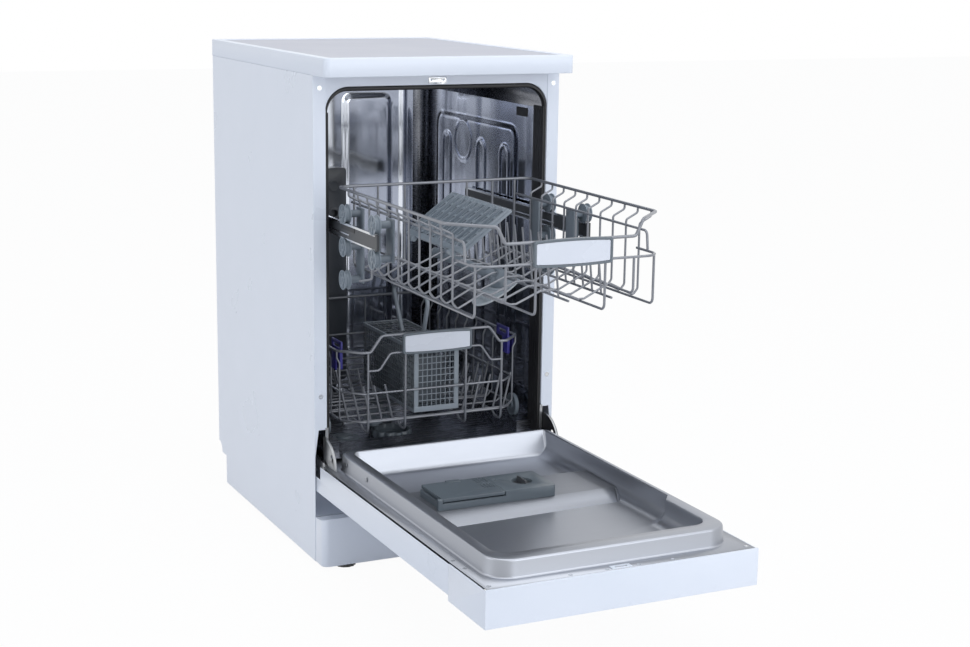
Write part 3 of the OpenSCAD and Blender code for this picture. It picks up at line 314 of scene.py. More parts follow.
def link(name, mesh, material):
    """A new object at the origin from a mesh in the frame's metres."""
    piece = bpy.data.objects.new(name, mesh)
    bpy.context.scene.collection.objects.link(piece)
    mesh.materials.clear()
    mesh.materials.append(material)
    return piece


def finish_piece(piece, body, slot, *nodes):
    """Rides on a body and stands for the named solids. Its slot is not used."""
    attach(piece, body)
    if nodes:
        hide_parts(*nodes)
    return piece


def smooth_piece(shell, name, paint, sharp=None):
    """Turns a bmesh into a smooth object. Edges steeper than the sharp angle stay sharp."""
    mesh = bpy.data.meshes.new(name)
    shell.to_mesh(mesh)
    shell.free()
    mesh.shade_smooth()
    if sharp:
        mesh.set_sharp_from_angle(angle=math.radians(sharp))
    return link(name, mesh, FINISHES[paint])


def add_bevel(piece, width):
    """Rounds the piece's edges by a width in millimetres."""
    bevel = piece.modifiers.new("edges", "BEVEL")
    bevel.width = width * MM
    bevel.segments = 2
    bevel.limit_method = "ANGLE"
    bevel.angle_limit = math.radians(30)
    bevel.harden_normals = True
    return piece


def thicken(piece, thickness, offset=-1):
    """Gives a thin skin the thickness of its sheet in millimetres."""
    sheet = piece.modifiers.new("sheet", "SOLIDIFY")
    sheet.thickness = thickness * MM
    sheet.offset = offset
    return piece


def skin(shell, rows, closed=True):
    """Joins neighbouring rows of points by faces. The rows are closed rings or open lines."""
    for a, b in zip(rows, rows[1:]):
        for i in range(0 if closed else 1, len(a)):
            shell.faces.new((a[i - 1], a[i], b[i], b[i - 1]))


def welded(node):
    """A solid's mesh as a bmesh, with its doubled points welded."""
    shell = bmesh.new()
    shell.from_mesh(frame["nodes"][node].data)
    bmesh.ops.remove_doubles(shell, verts=shell.verts, dist=2e-6)
    return shell


def join_flat(shell):
    """Joins the triangles of every flat face."""
    bmesh.ops.dissolve_limit(shell, angle_limit=math.radians(0.6), verts=shell.verts,
                             edges=shell.edges)


def rounded(node, width):
    """A copy of a solid with its sharp edges rounded by a live bevel."""
    shell = welded(node)
    join_flat(shell)
    piece = add_bevel(smooth_piece(shell, node + "_rounded", SLOTS[node]), width)
    return finish_piece(piece, BODY_OF[node], SLOTS[node], node)


ROUND_EDGES = {
    "worktop_frame": 2.5, "plinth": 1.5, "front_frame": 1.2, "control_panel": 1.6,
    "roller_brackets": 0.7, "cup_shelf": 0.45, "upper_spray_pipe": 1.0, "spray_duct": 2.0,
    "dispenser_body": 0.9, "dispenser_lid": 0.5, "rinse_cap": 0.6, "rail_guides": 0.5,
    "door_latch": 0.3, "latch_striker": 0.3, "hinge_brackets": 0.4, "base_pan": 1.2,
    "rack_clips": 0.7, "power_button": 0.8, "start_button": 0.8, "rear_connections": 0.6,
    "sump": 1.0, "circulation_pump": 1.5, "drain_pump": 1.2, "water_softener": 2.0,
}
for node, width in ROUND_EDGES.items():
    rounded(node, width)
OWN_FINISH = {"spray_duct": "duct_plastic", "dispenser_body": "dispenser_plastic",
              "dispenser_lid": "dispenser_plastic"}
for node, paint in OWN_FINISH.items():
    bpy.data.objects[node + "_rounded"].data.materials[0] = FINISHES[paint]
print(len(ROUND_EDGES), "solids have rounded edges")

# %% [markdown]
# The racks are welded from bent wire. A wire is a line with its corners filleted, swept by a small
# circle, and many of them repeat at a steady pitch. So one Geometry Nodes tree does it: mesh edges
# to a curve, a tube around it, and copies along a line, realized at the end.


# %% A tree for runs of bent wire
def wire_tree():
    tree = bpy.data.node_groups.new("wire_run", "GeometryNodeTree")
    face = tree.interface
    face.new_socket("Geometry", in_out="INPUT", socket_type="NodeSocketGeometry")
    for label, kind, value in (
            ("Radius", "NodeSocketFloat", 0.002), ("Count", "NodeSocketInt", 1),
            ("Step", "NodeSocketVector", (0, 0, 0)), ("Sides", "NodeSocketInt", 8),
            ("Finish", "NodeSocketMaterial", None)):
        socket = face.new_socket(label, in_out="INPUT", socket_type=kind)
        if value is not None:
            socket.default_value = value
    face.new_socket("Geometry", in_out="OUTPUT", socket_type="NodeSocketGeometry")
    start, end, curve, circle, tube, smooth, line, copies, real, paint = (
        tree.nodes.new(kind) for kind in (
            "NodeGroupInput", "NodeGroupOutput", "GeometryNodeMeshToCurve",
            "GeometryNodeCurvePrimitiveCircle", "GeometryNodeCurveToMesh",
            "GeometryNodeSetShadeSmooth", "GeometryNodeMeshLine", "GeometryNodeInstanceOnPoints",
            "GeometryNodeRealizeInstances", "GeometryNodeSetMaterial"))
    tube.inputs["Fill Caps"].default_value = True
    for source, out, target, into in (
            (start, "Geometry", curve, "Mesh"), (start, "Radius", circle, "Radius"),
            (start, "Sides", circle, "Resolution"), (curve, "Curve", tube, "Curve"),
            (circle, "Curve", tube, "Profile Curve"), (tube, "Mesh", smooth, "Geometry"),
            (start, "Count", line, "Count"), (start, "Step", line, "Offset"),
            (line, "Mesh", copies, "Points"), (smooth, "Geometry", copies, "Instance"),
            (copies, "Instances", real, "Geometry"), (real, "Geometry", paint, "Geometry"),
            (start, "Finish", paint, "Material"), (paint, "Geometry", end, "Geometry")):
        tree.links.new(source.outputs[out], target.inputs[into])
    return tree


WIRE_TREE = wire_tree()


def apply_tree(name, mesh, tree, values, material):
    """Runs a tree on a mesh and returns the result as a plain object at the origin."""
    seed = bpy.data.objects.new(name + "_seed", mesh)
    bpy.context.scene.collection.objects.link(seed)
    modifier = seed.modifiers.new("run", "NODES")
    modifier.node_group = tree
    for item in tree.interface.items_tree:
        if item.in_out == "INPUT" and item.name in values:
            modifier[item.identifier] = values[item.name]
    graph = bpy.context.evaluated_depsgraph_get()
    made = bpy.data.meshes.new_from_object(seed.evaluated_get(graph), depsgraph=graph)
    bpy.data.objects.remove(seed)
    return link(name, made, material)


def bend(points, radii, closed=False, steps=5):
    """Rounds the corners of a path of millimetre points. radii is one number or one per point."""
    if isinstance(radii, (int, float)):
        radii = [radii] * len(points)
    pts = [Vector(p) for p in points]
    out = []
    for i, (here, radius) in enumerate(zip(pts, radii)):
        if not closed and i in (0, len(pts) - 1):
            out.append(here)
            continue
        before, after = pts[i - 1], pts[(i + 1) % len(pts)]
        a, b = (before - here), (after - here)
        opening = a.angle(b)
        if opening > math.radians(179) or radius <= 0:
            out.append(here)
            continue
        cut = min(radius / math.tan(opening / 2), a.length * 0.49, b.length * 0.49)
        p, q = here + a.normalized() * cut, here + b.normalized() * cut
        middle = (a.normalized() + b.normalized()).normalized()
        true_radius = cut * math.tan(opening / 2)
        centre = here + middle * (true_radius / math.sin(opening / 2))
        for k in range(steps + 1):
            spoke = (p - centre).lerp(q - centre, k / steps)
            out.append(centre + spoke.normalized() * true_radius)
    return out


def wires(name, paths, diameter, body, count=1, step=(0, 0, 0), closed=False, slot="coated_wire",
          nodes=(), sides=8, finish_name=None):
    """Pieces of wire along millimetre paths, repeated count times by a millimetre step."""
    mesh = bpy.data.meshes.new(name + "_paths")
    points, edges = [], []
    for path in paths:
        first = len(points)
        points += [place(*p) for p in path]
        edges += [(first + k, first + k + 1) for k in range(len(path) - 1)]
        if closed:
            edges.append((len(points) - 1, first))
    mesh.from_pydata(points, edges, [])
    paint = FINISHES[finish_name or slot]
    piece = apply_tree(name, mesh, WIRE_TREE, {
        "Radius": diameter / 2 * MM, "Count": count, "Step": Vector(step) * MM, "Sides": sides,
        "Finish": paint}, paint)
    return finish_piece(piece, body, slot, *nodes)


def both_sides(path):
    """A path and its mirror image across the machine's middle plane."""
    return [path, [Vector((-p[0], p[1], p[2])) for p in path]]


def mirrored(half):
    """A section of (x, z) points that starts at the right, completed on the left."""
    return half + [(-x, z) for x, z in reversed(half)]


# %% [markdown]
# The upper rack hangs from its top hoop. Hoops of thinner wire run from the hoop down the sides,
# step inwards under it, and wave along the bottom so that cups can lean. Long wires tie them.

# %% Upper rack
TOP_WIRE, WIRE = 5.0, 4.0
PITCH = 40.0

rack_low, rack_high = box_mm("upper_rack")
TOP = rack_high[2] - TOP_WIRE / 2
HALF = rack_high[0] - TOP_WIRE / 2
RACK_FRONT, RACK_BACK = rack_low[1] + TOP_WIRE / 2, rack_high[1] - TOP_WIRE / 2
LOW = rack_low[2] + WIRE / 2
CAGE = HALF - 20
BAR = TOP - 56
SECOND = TOP - 26
HUMP, WAVE_TOP = 21.0, 105.0
DIP, DIP_HALF, HEAD_HALF, CHAMFER = 25, 107, 119, 57

hoop = [(-DIP_HALF, RACK_FRONT, TOP - DIP), (DIP_HALF, RACK_FRONT, TOP - DIP),
        (HEAD_HALF, RACK_FRONT, TOP), (HALF, RACK_FRONT + CHAMFER, TOP), (HALF, RACK_BACK, TOP),
        (-HALF, RACK_BACK, TOP), (-HALF, RACK_FRONT + CHAMFER, TOP), (-HEAD_HALF, RACK_FRONT, TOP)]
wires("upper_rack_top_hoop", [bend(hoop, [7, 7, 6, 16, 14, 14, 16, 6], closed=True)], TOP_WIRE,
      "upper_rack", closed=True, nodes=("upper_rack",), sides=12)

inner = CAGE - 4
bar = [(-inner, RACK_FRONT + 70, BAR), (-inner, RACK_FRONT, BAR), (inner, RACK_FRONT, BAR),
       (inner, RACK_FRONT + 70, BAR)]
wires("upper_rack_front_bar", [bend(bar, [0, 25, 25, 0])], WIRE, "upper_rack", sides=10)
rail_wire = [(inner, RACK_BACK, SECOND), (inner, RACK_FRONT + 42, SECOND),
             (inner, RACK_FRONT + 38, BAR)]
wires("upper_rack_side_wires", both_sides(bend(rail_wire, 8)), WIRE, "upper_rack", sides=10)

section = mirrored([(HALF, TOP), (HALF, TOP - 9), (CAGE, TOP - 19), (CAGE, LOW + 9),
                    (CAGE - 8, LOW), (WAVE_TOP, LOW + HUMP), (62, LOW), (52, LOW),
                    (12, LOW + HUMP - 4)])
FIRST_HOOP = RACK_FRONT + 71
HOOPS = int((RACK_BACK - 20 - FIRST_HOOP) // PITCH) + 1
radii = [0, 5, 5, 7, 4, 8, 6, 6, 8] + [8, 6, 6, 8, 4, 7, 5, 5, 0]
wires("upper_rack_hoops", [bend([(x, FIRST_HOOP, z) for x, z in section], radii)], WIRE - 0.5,
      "upper_rack", count=HOOPS, step=(0, PITCH, 0))

for side, x, rise in (("outer", CAGE - 8, 0), ("middle", WAVE_TOP, HUMP), ("inner", 57, 0)):
    z = LOW + rise - WIRE + 0.6
    start = RACK_FRONT + (13 if side == "outer" else 0)
    run = [(x, start, BAR), (x, start, z), (x, RACK_BACK, z), (x, RACK_BACK, TOP)]
    wires(f"upper_rack_{side}_runs", both_sides(bend(run, [0, 9, 9, 0])), WIRE, "upper_rack")

TINE, TINE_LONG = 3.4, 66
TINE_LEAN = math.tan(math.radians(6)) * TINE_LONG
for label, x in (("centre", 19), ("right", 92)):
    foot = LOW + 4
    tine = [(x, FIRST_HOOP, foot), (x - TINE_LEAN, FIRST_HOOP, foot + TINE_LONG)]
    wires(f"upper_rack_{label}_tines", [tine], TINE, "upper_rack", count=14,
          step=(0, PITCH * 0.7, 0))
    wires(f"upper_rack_{label}_tine_wire",
          [[(x, RACK_FRONT + 40, foot + 1), (x, RACK_BACK, foot + 1)]], WIRE, "upper_rack")
print("upper rack:", HOOPS, "hoops at", PITCH, "mm")

# %% [markdown]
# The lower rack is deeper. Its front top wire drops at both corners and lifts in the middle to
# carry the handle, and combs of slanting tines keep plates apart.

# %% Lower rack
low_box, high_box = box_mm("lower_rack")
LIFT, LIFT_HALF, STEP_HALF, L_HEAD, L_CHAMFER = 27, 100, 120, 134, 34
L_TOP = high_box[2] - LIFT - (TOP_WIRE - 0.4) / 2
L_FRONT, L_BACK = low_box[1] + (TOP_WIRE - 0.4) / 2, high_box[1] - TOP_WIRE / 2
L_HALF = 168.0
L_IN = L_HALF - 5
L_LOW = low_box[2] + WIRE / 2
L_FLOOR = L_LOW + 8 + WIRE - 0.6

hoop = [(-LIFT_HALF, L_FRONT, L_TOP + LIFT), (LIFT_HALF, L_FRONT, L_TOP + LIFT),
        (STEP_HALF, L_FRONT, L_TOP), (L_HEAD, L_FRONT, L_TOP), (L_HALF, L_FRONT + L_CHAMFER, L_TOP),
        (L_HALF, L_BACK, L_TOP), (-L_HALF, L_BACK, L_TOP), (-L_HALF, L_FRONT + L_CHAMFER, L_TOP),
        (-L_HEAD, L_FRONT, L_TOP), (-STEP_HALF, L_FRONT, L_TOP)]
wires("lower_rack_top_hoop", [bend(hoop, [9, 9, 6, 6, 10, 22, 22, 10, 6, 6], closed=True)],
      TOP_WIRE, "lower_rack", closed=True, nodes=("lower_rack",), sides=12)
grip = [(-126, L_FRONT, L_TOP - 32), (-104, L_FRONT, L_TOP - 32), (-84, L_FRONT, L_TOP - 4),
        (84, L_FRONT, L_TOP - 4), (104, L_FRONT, L_TOP - 32), (126, L_FRONT, L_TOP - 32)]
wires("lower_rack_handle_wire", [bend(grip, 9)], WIRE, "lower_rack")
ring = [(-131, L_FRONT + 3.4), (131, L_FRONT + 3.4), (L_IN - 2, L_FRONT + L_CHAMFER),
        (L_IN - 2, L_BACK - 4), (2 - L_IN, L_BACK - 4), (2 - L_IN, L_FRONT + L_CHAMFER)]
for label, z in (("middle", L_TOP - 72), ("foot", L_LOW + 18)):
    path = bend([(x, y, z) for x, y in ring], [8, 8, 8, 22, 22, 8], closed=True)
    wires(f"lower_rack_{label}_ring", [path], WIRE, "lower_rack", closed=True)

section = mirrored([(L_HALF, L_TOP), (L_HALF, L_TOP - 12), (L_IN, L_TOP - 22),
                    (L_IN, L_FLOOR + 10), (L_IN - 10, L_FLOOR)])
L_FIRST = L_FRONT + 34
L_HOOPS = int((L_BACK - 20 - L_FIRST) // PITCH) + 1
radii = [0, 5, 5, 8, 8] + [8, 8, 5, 5, 0]
wires("lower_rack_hoops", [bend([(x, L_FIRST, z) for x, z in section], radii)], WIRE - 0.5,
      "lower_rack", count=L_HOOPS, step=(0, PITCH, 0))
for label, x, top in (("outer", 124.5, L_TOP), ("inner", 56.5, L_TOP - 4)):
    run = [(x, L_FRONT, top), (x, L_FRONT, L_LOW), (x, L_FRONT + 24, L_LOW),
           (x, L_FRONT + 34, L_LOW + 8), (x, L_BACK - 34, L_LOW + 8), (x, L_BACK - 24, L_LOW),
           (x, L_BACK, L_LOW), (x, L_BACK, L_TOP)]
    wires(f"lower_rack_{label}_runs", both_sides(bend(run, [0, 9, 6, 6, 6, 6, 9, 0])), WIRE,
          "lower_rack")

TINE_ROWS = (40, 130, 220, 310)
FOLDING_ROW = TINE_ROWS[1]
LEAN = math.tan(math.radians(13))
L_TINE, FOLD_TINE, TINE_STEP = 61, 56, 20
for y in TINE_ROWS:
    wires(f"lower_rack_comb_bar_{y}", [[(-156, y, L_FLOOR), (156, y, L_FLOOR)]], WIRE - 0.4,
          "lower_rack")
    for side in (-1, 1):
        if side < 0 and y == FOLDING_ROW:
            continue
        tine = [(side * 66, y, L_FLOOR), (side * (66 + LEAN * L_TINE), y, L_FLOOR + L_TINE)]
        label = "left" if side < 0 else "right"
        wires(f"lower_rack_{label}_tines_{y}", [tine], TINE + 0.8, "lower_rack", count=5,
              step=(side * TINE_STEP, 0, 0))
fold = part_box("fold_tines")[0].z / MM + 2
comb = [(-62, FOLDING_ROW, fold), (-62 - LEAN * FOLD_TINE, FOLDING_ROW, fold + FOLD_TINE)]
wires("folding_tines", [comb], TINE, "fold_tines", count=5, step=(-TINE_STEP, 0, 0),
      nodes=("fold_tines",))
wires("folding_tines_axle", [[(-152, FOLDING_ROW, fold), (-56, FOLDING_ROW, fold)]], WIRE,
      "fold_tines")
print("lower rack:", L_HOOPS, "hoops,", len(TINE_ROWS), "combs")

# %% [markdown]
# A few shapes come back all over the machine. Wheels and caps are turned on an axis, flat parts are
# plates with soft edges, and brackets are groups of plain blocks. One helper covers each kind.


# %% Helpers for turned parts, plates and blocks
def to_piece(shell, name, slot, body, nodes=(), finish_name=None, smooth=38):
    """Closes a bmesh of frame metres into a finished piece with normals outward."""
    bmesh.ops.recalc_face_normals(shell, faces=shell.faces)
    piece = smooth_piece(shell, name, finish_name or slot, smooth)
    return finish_piece(piece, body, slot, *nodes)


def lathe(name, profile, spots, body, slot, nodes=(), sides=40, wave=None, closed=False,
          ribs=None, finish_name=None):
    """Turns (radius, height) pairs about an axis at every spot, a point and a direction. wave is
    (depth, count, least radius) for scallops, ribs is (count, inner, outer, low, high, width)."""
    shell = bmesh.new()
    for centre, axis in spots:
        turn = Vector((0, 0, 1)).rotation_difference(Vector(axis)).to_matrix()
        rings = []
        for radius, height in profile:
            ring = []
            for k in range(sides):
                angle = 2 * math.pi * k / sides
                r = radius
                if wave and radius >= wave[2]:
                    r -= wave[0] * (0.5 - 0.5 * math.cos(wave[1] * angle)) ** 1.5
                spoke = turn @ Vector((r * math.cos(angle), r * math.sin(angle), height))
                ring.append(shell.verts.new(place(*(Vector(centre) + spoke))))
            rings.append(ring)
        skin(shell, rings + rings[:1] if closed else rings)
        if not closed:
            shell.faces.new(list(reversed(rings[0])))
            shell.faces.new(rings[-1])
        if ribs:
            count, inner, outer, low, high, wide = ribs
            for k in range(count):
                spin = turn @ Matrix.Rotation(2 * math.pi * k / count, 3, "Z")
                block(shell, (inner, -wide / 2, low), (outer, wide / 2, high),
                      lambda p: Vector(centre) + spin @ p)
    return to_piece(shell, name, slot, body, nodes, finish_name)


def block(shell, low, high, move=lambda p: p):
    """Adds a box between two millimetre corners to a bmesh, moved by a function."""
    x, y, z = zip(low, high)
    made = {(i, j, k): shell.verts.new(place(*move(Vector((x[i], y[j], z[k])))))
            for i in (0, 1) for j in (0, 1) for k in (0, 1)}
    for face in (((0, 0, 0), (0, 1, 0), (1, 1, 0), (1, 0, 0)),
                 ((0, 0, 1), (1, 0, 1), (1, 1, 1), (0, 1, 1)),
                 ((0, 0, 0), (1, 0, 0), (1, 0, 1), (0, 0, 1)),
                 ((0, 1, 0), (0, 1, 1), (1, 1, 1), (1, 1, 0)),
                 ((0, 0, 0), (0, 0, 1), (0, 1, 1), (0, 1, 0)),
                 ((1, 0, 0), (1, 1, 0), (1, 1, 1), (1, 0, 1))):
        shell.faces.new([made[corner] for corner in face])


def blocks(name, corners, body, slot, nodes=(), bevel=0.4, finish_name=None, both=False):
    """One piece made of boxes, each given as two corners. both adds their mirror images."""
    shell = bmesh.new()
    for low, high in corners:
        block(shell, low, high)
        if both:
            block(shell, (-high[0], low[1], low[2]), (-low[0], high[1], high[2]))
    return add_bevel(to_piece(shell, name, slot, body, nodes, finish_name), bevel)


def ring_of(shell, points):
    """A closed line through millimetre points. Returns its points and its edges."""
    verts = [shell.verts.new(place(*p)) for p in points]
    return verts, [shell.edges.new((verts[i - 1], verts[i])) for i in range(len(verts))]


def plate(name, outline, hole, y, thickness, body, slot, nodes=(), bevel=0.6, finish_name=None):
    """A flat plate that faces the front: an outline of (x, z) points, perhaps with a hole."""
    shell = bmesh.new()
    edges = []
    for path in (outline, hole):
        edges += ring_of(shell, [(x, y, z) for x, z in path or []])[1]
    bmesh.ops.triangle_fill(shell, use_beauty=True, edges=edges)
    if sum(f.normal.y for f in shell.faces) > 0:
        bmesh.ops.reverse_faces(shell, faces=shell.faces)
    bmesh.ops.dissolve_limit(shell, angle_limit=0.01, verts=shell.verts, edges=shell.edges)
    piece = thicken(smooth_piece(shell, name, finish_name or slot), thickness)
    return finish_piece(add_bevel(piece, bevel), body, slot, *nodes)


print("helpers: lathe, blocks, plate")

# %% [markdown]
# The door's inner side is one pressed sheet. It is modelled as rings: each ring is the same rounded
# outline, moved in and down, and neighbouring rings are joined by faces. Every side of the outline
# may move by its own amount, so the long walls end in a wide curve and the rear wall slopes.


# %% Helpers for pressed sheet
def inset(corners, distances):
    """Moves the sides of a closed outline, given against the clock, inwards by their distances.
    distances[i] belongs to the side that ends at corner i."""
    out = []
    count = len(corners)
    for i in range(count):
        a, b, c = (Vector(corners[(i + k) % count]) for k in (-1, 0, 1))
        n1 = Vector((a.y - b.y, b.x - a.x)).normalized()
        n2 = Vector((b.y - c.y, c.x - b.x)).normalized()
        d1, d2 = distances[i], distances[(i + 1) % count]
        cosine = n1.dot(n2)
        if cosine > 0.9999:
            out.append(b + n1 * d1)
            continue
        out.append(b + (n1 * (d1 - cosine * d2) + n2 * (d2 - cosine * d1)) / (1 - cosine ** 2))
    return out


def ring_points(corners, radii, distances, steps=8):
    """The outline with its sides moved in, and its corner radii shrunk to match."""
    if isinstance(distances, (int, float)):
        distances = [distances] * len(corners)
    moved_in = [Vector((p.x, p.y, 0)) for p in inset(corners, distances)]
    least = min(distances)
    return bend(moved_in, [max(r - least, 1.5) for r in radii], closed=True, steps=steps)


def lean(depth, full, slope, fillet):
    """How far a wall has moved in at a depth below its top, with a fillet at its foot."""
    into = max(0.0, depth - (full - fillet))
    return slope * depth + fillet - math.sqrt(max(fillet * fillet - into * into, 0.0))


# %% Door liner
liner_low, liner_high = box_mm("door_liner")
RIM_TOP = liner_high[2]
FACE = RIM_TOP - 26.9
DEPTH = 41.0
RECESS_FLOOR = RIM_TOP - DEPTH
RIM_HALF, RIM_FRONT, RIM_REAR = 195.5, liner_low[1] + 23.7, -34.0
FLANGE_HALF, NECK_HALF, NECK_Y = 216, 202.3, -20.5

rim = [(-RIM_HALF, RIM_FRONT), (RIM_HALF, RIM_FRONT), (RIM_HALF, RIM_REAR), (-RIM_HALF, RIM_REAR)]
rim_radii = [40, 40, 22, 22]
rim_profile = [(-2.0, FACE), (-1.2, FACE + 0.4), (-0.2, FACE + 1.4), (0.2, FACE + 2.6),
               (1.8, RIM_TOP - 3.2), (2.2, RIM_TOP - 1.7), (3.2, RIM_TOP - 0.5), (4.6, RIM_TOP)]
recess = [(-174, -592), (172, -592), (172, -470), (185.5, -452), (185.5, -44), (-174, -44)]
recess_radii = [26, 26, 5, 5, 5, 14]
depths = [0, 0.35, 1.0, 2.2, 6, 12] + [DEPTH - 22 + 22 * math.sin(math.pi / 2 * k / 8)
                                       for k in range(1, 9)]


def face_up(shell):
    """Turns the faces of an open sheet the same way, with most of its area looking up."""
    bmesh.ops.recalc_face_normals(shell, faces=shell.faces)
    if sum(f.normal.z * f.calc_area() for f in shell.faces) < 0:
        bmesh.ops.reverse_faces(shell, faces=shell.faces)


def recess_ring(depth):
    """The recess outline at a depth: sides and front curve in widely, the rear wall slopes."""
    soft = 1.2 * max(0.0, 1 - depth / 1.5) ** 2
    side = lean(depth, DEPTH, 0.03, 22) - soft
    front = lean(depth, DEPTH, 0.1, 18) - soft
    rear = lean(depth, DEPTH, 0.36, 5) - soft
    step = lean(depth, DEPTH, 0.05, 22) - soft
    points = ring_points(recess, recess_radii, [side, front, side, step, side, rear])
    return [(p.x, p.y, RIM_TOP - depth) for p in points]


def liner_sheet():
    """Flange, rim, rim top and recess in one mesh."""
    shell = bmesh.new()
    head, tail = liner_low[1] + 0.2, liner_high[1] - 0.2
    flange = [(-FLANGE_HALF, head), (FLANGE_HALF, head), (FLANGE_HALF, NECK_Y), (NECK_HALF, NECK_Y),
              (NECK_HALF, tail), (-NECK_HALF, tail), (-NECK_HALF, NECK_Y), (-FLANGE_HALF, NECK_Y)]
    _, flange_edges = ring_of(shell, [(x, y, FACE) for x, y in flange])
    rim_rings = [ring_of(shell, [(p.x, p.y, z) for p in ring_points(rim, rim_radii, d)])
                 for d, z in rim_profile]
    recess_rings = [ring_of(shell, recess_ring(depth)) for depth in depths]
    for rings in (rim_rings, recess_rings):
        skin(shell, [verts for verts, _ in rings])
    for edges in (flange_edges + rim_rings[0][1], rim_rings[-1][1] + recess_rings[0][1],
                  recess_rings[-1][1]):
        bmesh.ops.triangle_fill(shell, use_beauty=True, edges=edges)
    face_up(shell)
    piece = thicken(smooth_piece(shell, "door_liner_sheet", "stainless", 38), 1.0)
    return finish_piece(piece, "door", "stainless", "door_liner")


liner_sheet()
print("liner: rim top at", round(RIM_TOP, 1), "mm, recess floor at", round(RECESS_FLOOR, 1))

# %% [markdown]
# Across the recess runs a raised band that carries the detergent dispenser. Its section is a short
# slope at the back, a level top and a long ramp at the front that runs slightly askew. A thin bead
# closes its right end.

# %% Cross band of the liner
BAND_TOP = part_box("dispenser_body")[0].z / MM


def band_section(x):
    """The band's line in y and z at a distance x from the middle."""
    foot = -341 - (164 - x) * 0.04
    edge = -301 - (184 - x) * 0.025
    return bend([(x, foot, RECESS_FLOOR + 0.1), (x, edge, BAND_TOP), (x, -201, BAND_TOP),
                 (x, -195, RECESS_FLOOR + 0.1)], [0, 5, 2, 0])


def swept_sheet(name, section_at, xs, body, slot, thickness, finish_name=None):
    """A sheet whose section in y and z is carried along x."""
    shell = bmesh.new()
    skin(shell, [[shell.verts.new(place(*p)) for p in section_at(x)] for x in xs], closed=False)
    face_up(shell)
    piece = smooth_piece(shell, name, finish_name or slot)
    return finish_piece(thicken(piece, thickness), body, slot)


BAND_LEFT, BAND_RIGHT = -166.0, 181.5
STATIONS = 12
stations = [BAND_LEFT + (BAND_RIGHT - BAND_LEFT) * k / STATIONS for k in range(STATIONS + 1)]
# The band and its bead are the liner's own steel, drawn in its darker copy: painted shade.
swept_sheet("liner_cross_band", band_section, stations, "door", "stainless", 0.8,
            finish_name="band_shaded_steel")
bead = [(164, -341, RECESS_FLOOR + 0.8), (BAND_RIGHT, -301, BAND_TOP + 0.5),
        (BAND_RIGHT, -202, BAND_TOP + 0.5), (168, -195, RECESS_FLOOR + 0.8)]
wires("liner_band_bead", [bend(bead, [0, 5, 4, 0])], 1.6, "door", slot="stainless",
      finish_name="band_shaded_steel")
print("band top at", round(BAND_TOP, 1), "mm")

# %% [markdown]
# The rack handles are a grey frame with a glossy panel set in it. Their top and bottom edges bow a
# little, which shows in the long reflections.


# %% Rack handles
def bowed(half, low, high, rise, corner):
    """A rectangle in x and z with rounded corners and slightly bowed long edges."""
    path = bend([(-half, 0, low), (half, 0, low), (half, 0, high), (-half, 0, high)], corner,
                closed=True, steps=4)
    middle = (low + high) / 2
    reach = (high - low) / 2
    out = []
    for p in path:
        bow = rise * (1 - (p.x / half) ** 2) * (p.z - middle) / reach
        out.append((p.x, p.z + bow))
    fine = []
    for a, b in zip(out, out[1:] + out[:1]):
        parts = 8 if abs(a[0] - b[0]) > half else 1
        for k in range(parts):
            x, z = a[0] + (b[0] - a[0]) * k / parts, a[1] + (b[1] - a[1]) * k / parts
            bow = rise * (1 - (x / half) ** 2) * (1 if z > middle else -1) if parts > 1 and k else 0
            fine.append((x, z + bow))
    return fine


for label in ("upper", "lower"):
    grip_low, grip_high = box_mm(f"{label}_handle")
    low, high, front = grip_low[2], grip_high[2], grip_low[1]
    deep = grip_high[1] - front
    body = BODY_OF[f"{label}_handle"]
    plate(f"{label}_handle_frame", bowed(64, low + 1.7, high - 1.7, 1.7, 4),
          bowed(60.6, low + 5.2, high - 5.2, 1.7, 2), front, deep, body, "grey_plastic",
          nodes=(f"{label}_handle",), bevel=0.7, finish_name="frame_plastic")
    plate(f"{label}_handle_panel", bowed(60.3, low + 5.5, high - 5.5, 1.7, 2), None, front + 0.7,
          deep - 2.5, body, "handle_plastic", bevel=0.6)
print("two handles")

# %% [markdown]
# The rollers of the upper rack are spools that run above and below the rails. The wheels of the
# lower rack are broad discs. All are turned shapes with a few ribs between hub and rim.


# %% Rollers and wheels
def pair_of_spots(x, node):
    """Spots on a solid's axle at both sides of the machine, looking outwards."""
    _, y, z = middle_mm(node)
    return [((x, y, z), (1, 0, 0)), ((-x, y, z), (-1, 0, 0))]


for node in [n for n in frame["nodes"] if n.startswith("upper_rollers")]:
    spool = [(3.1, 0), (15.9, 0), (15.9, 1.6), (13.2, 3.0), (12.4, 5.2), (13.2, 7.4), (15.9, 8.9),
             (15.9, 10.2), (14.5, 10.2), (13.6, 8.4), (6.6, 8.4), (5.6, 10.2), (3.1, 10.2)]
    lathe(node + "_spools", spool, pair_of_spots(180, node), BODY_OF[node],
          "wheel_plastic", nodes=(node,), closed=True, ribs=(6, 6.2, 14, 8, 9.6, 1.1))
for node in [n for n in frame["nodes"] if n.startswith("lower_wheels")]:
    low, high = box_mm(node)
    wheel = (high[2] - low[2]) / 2
    tyre = [(3.3, 0), (8, 0), (8, 3), (wheel - 3, 3), (wheel - 2.2, 2), (wheel - 0.5, 2),
            (wheel, 2.6), (wheel, 8.4), (wheel - 0.5, 9), (wheel - 2.2, 9), (wheel - 3, 8),
            (8, 8), (8, 11), (3.3, 11)]
    lathe(node + "_discs", tyre, pair_of_spots(173.5, node), BODY_OF[node], "wheel_plastic",
          nodes=(node,), closed=True, ribs=(8, 7.6, wheel - 2.6, 7.6, 9.4, 1.4))
print("rollers and wheels turned")

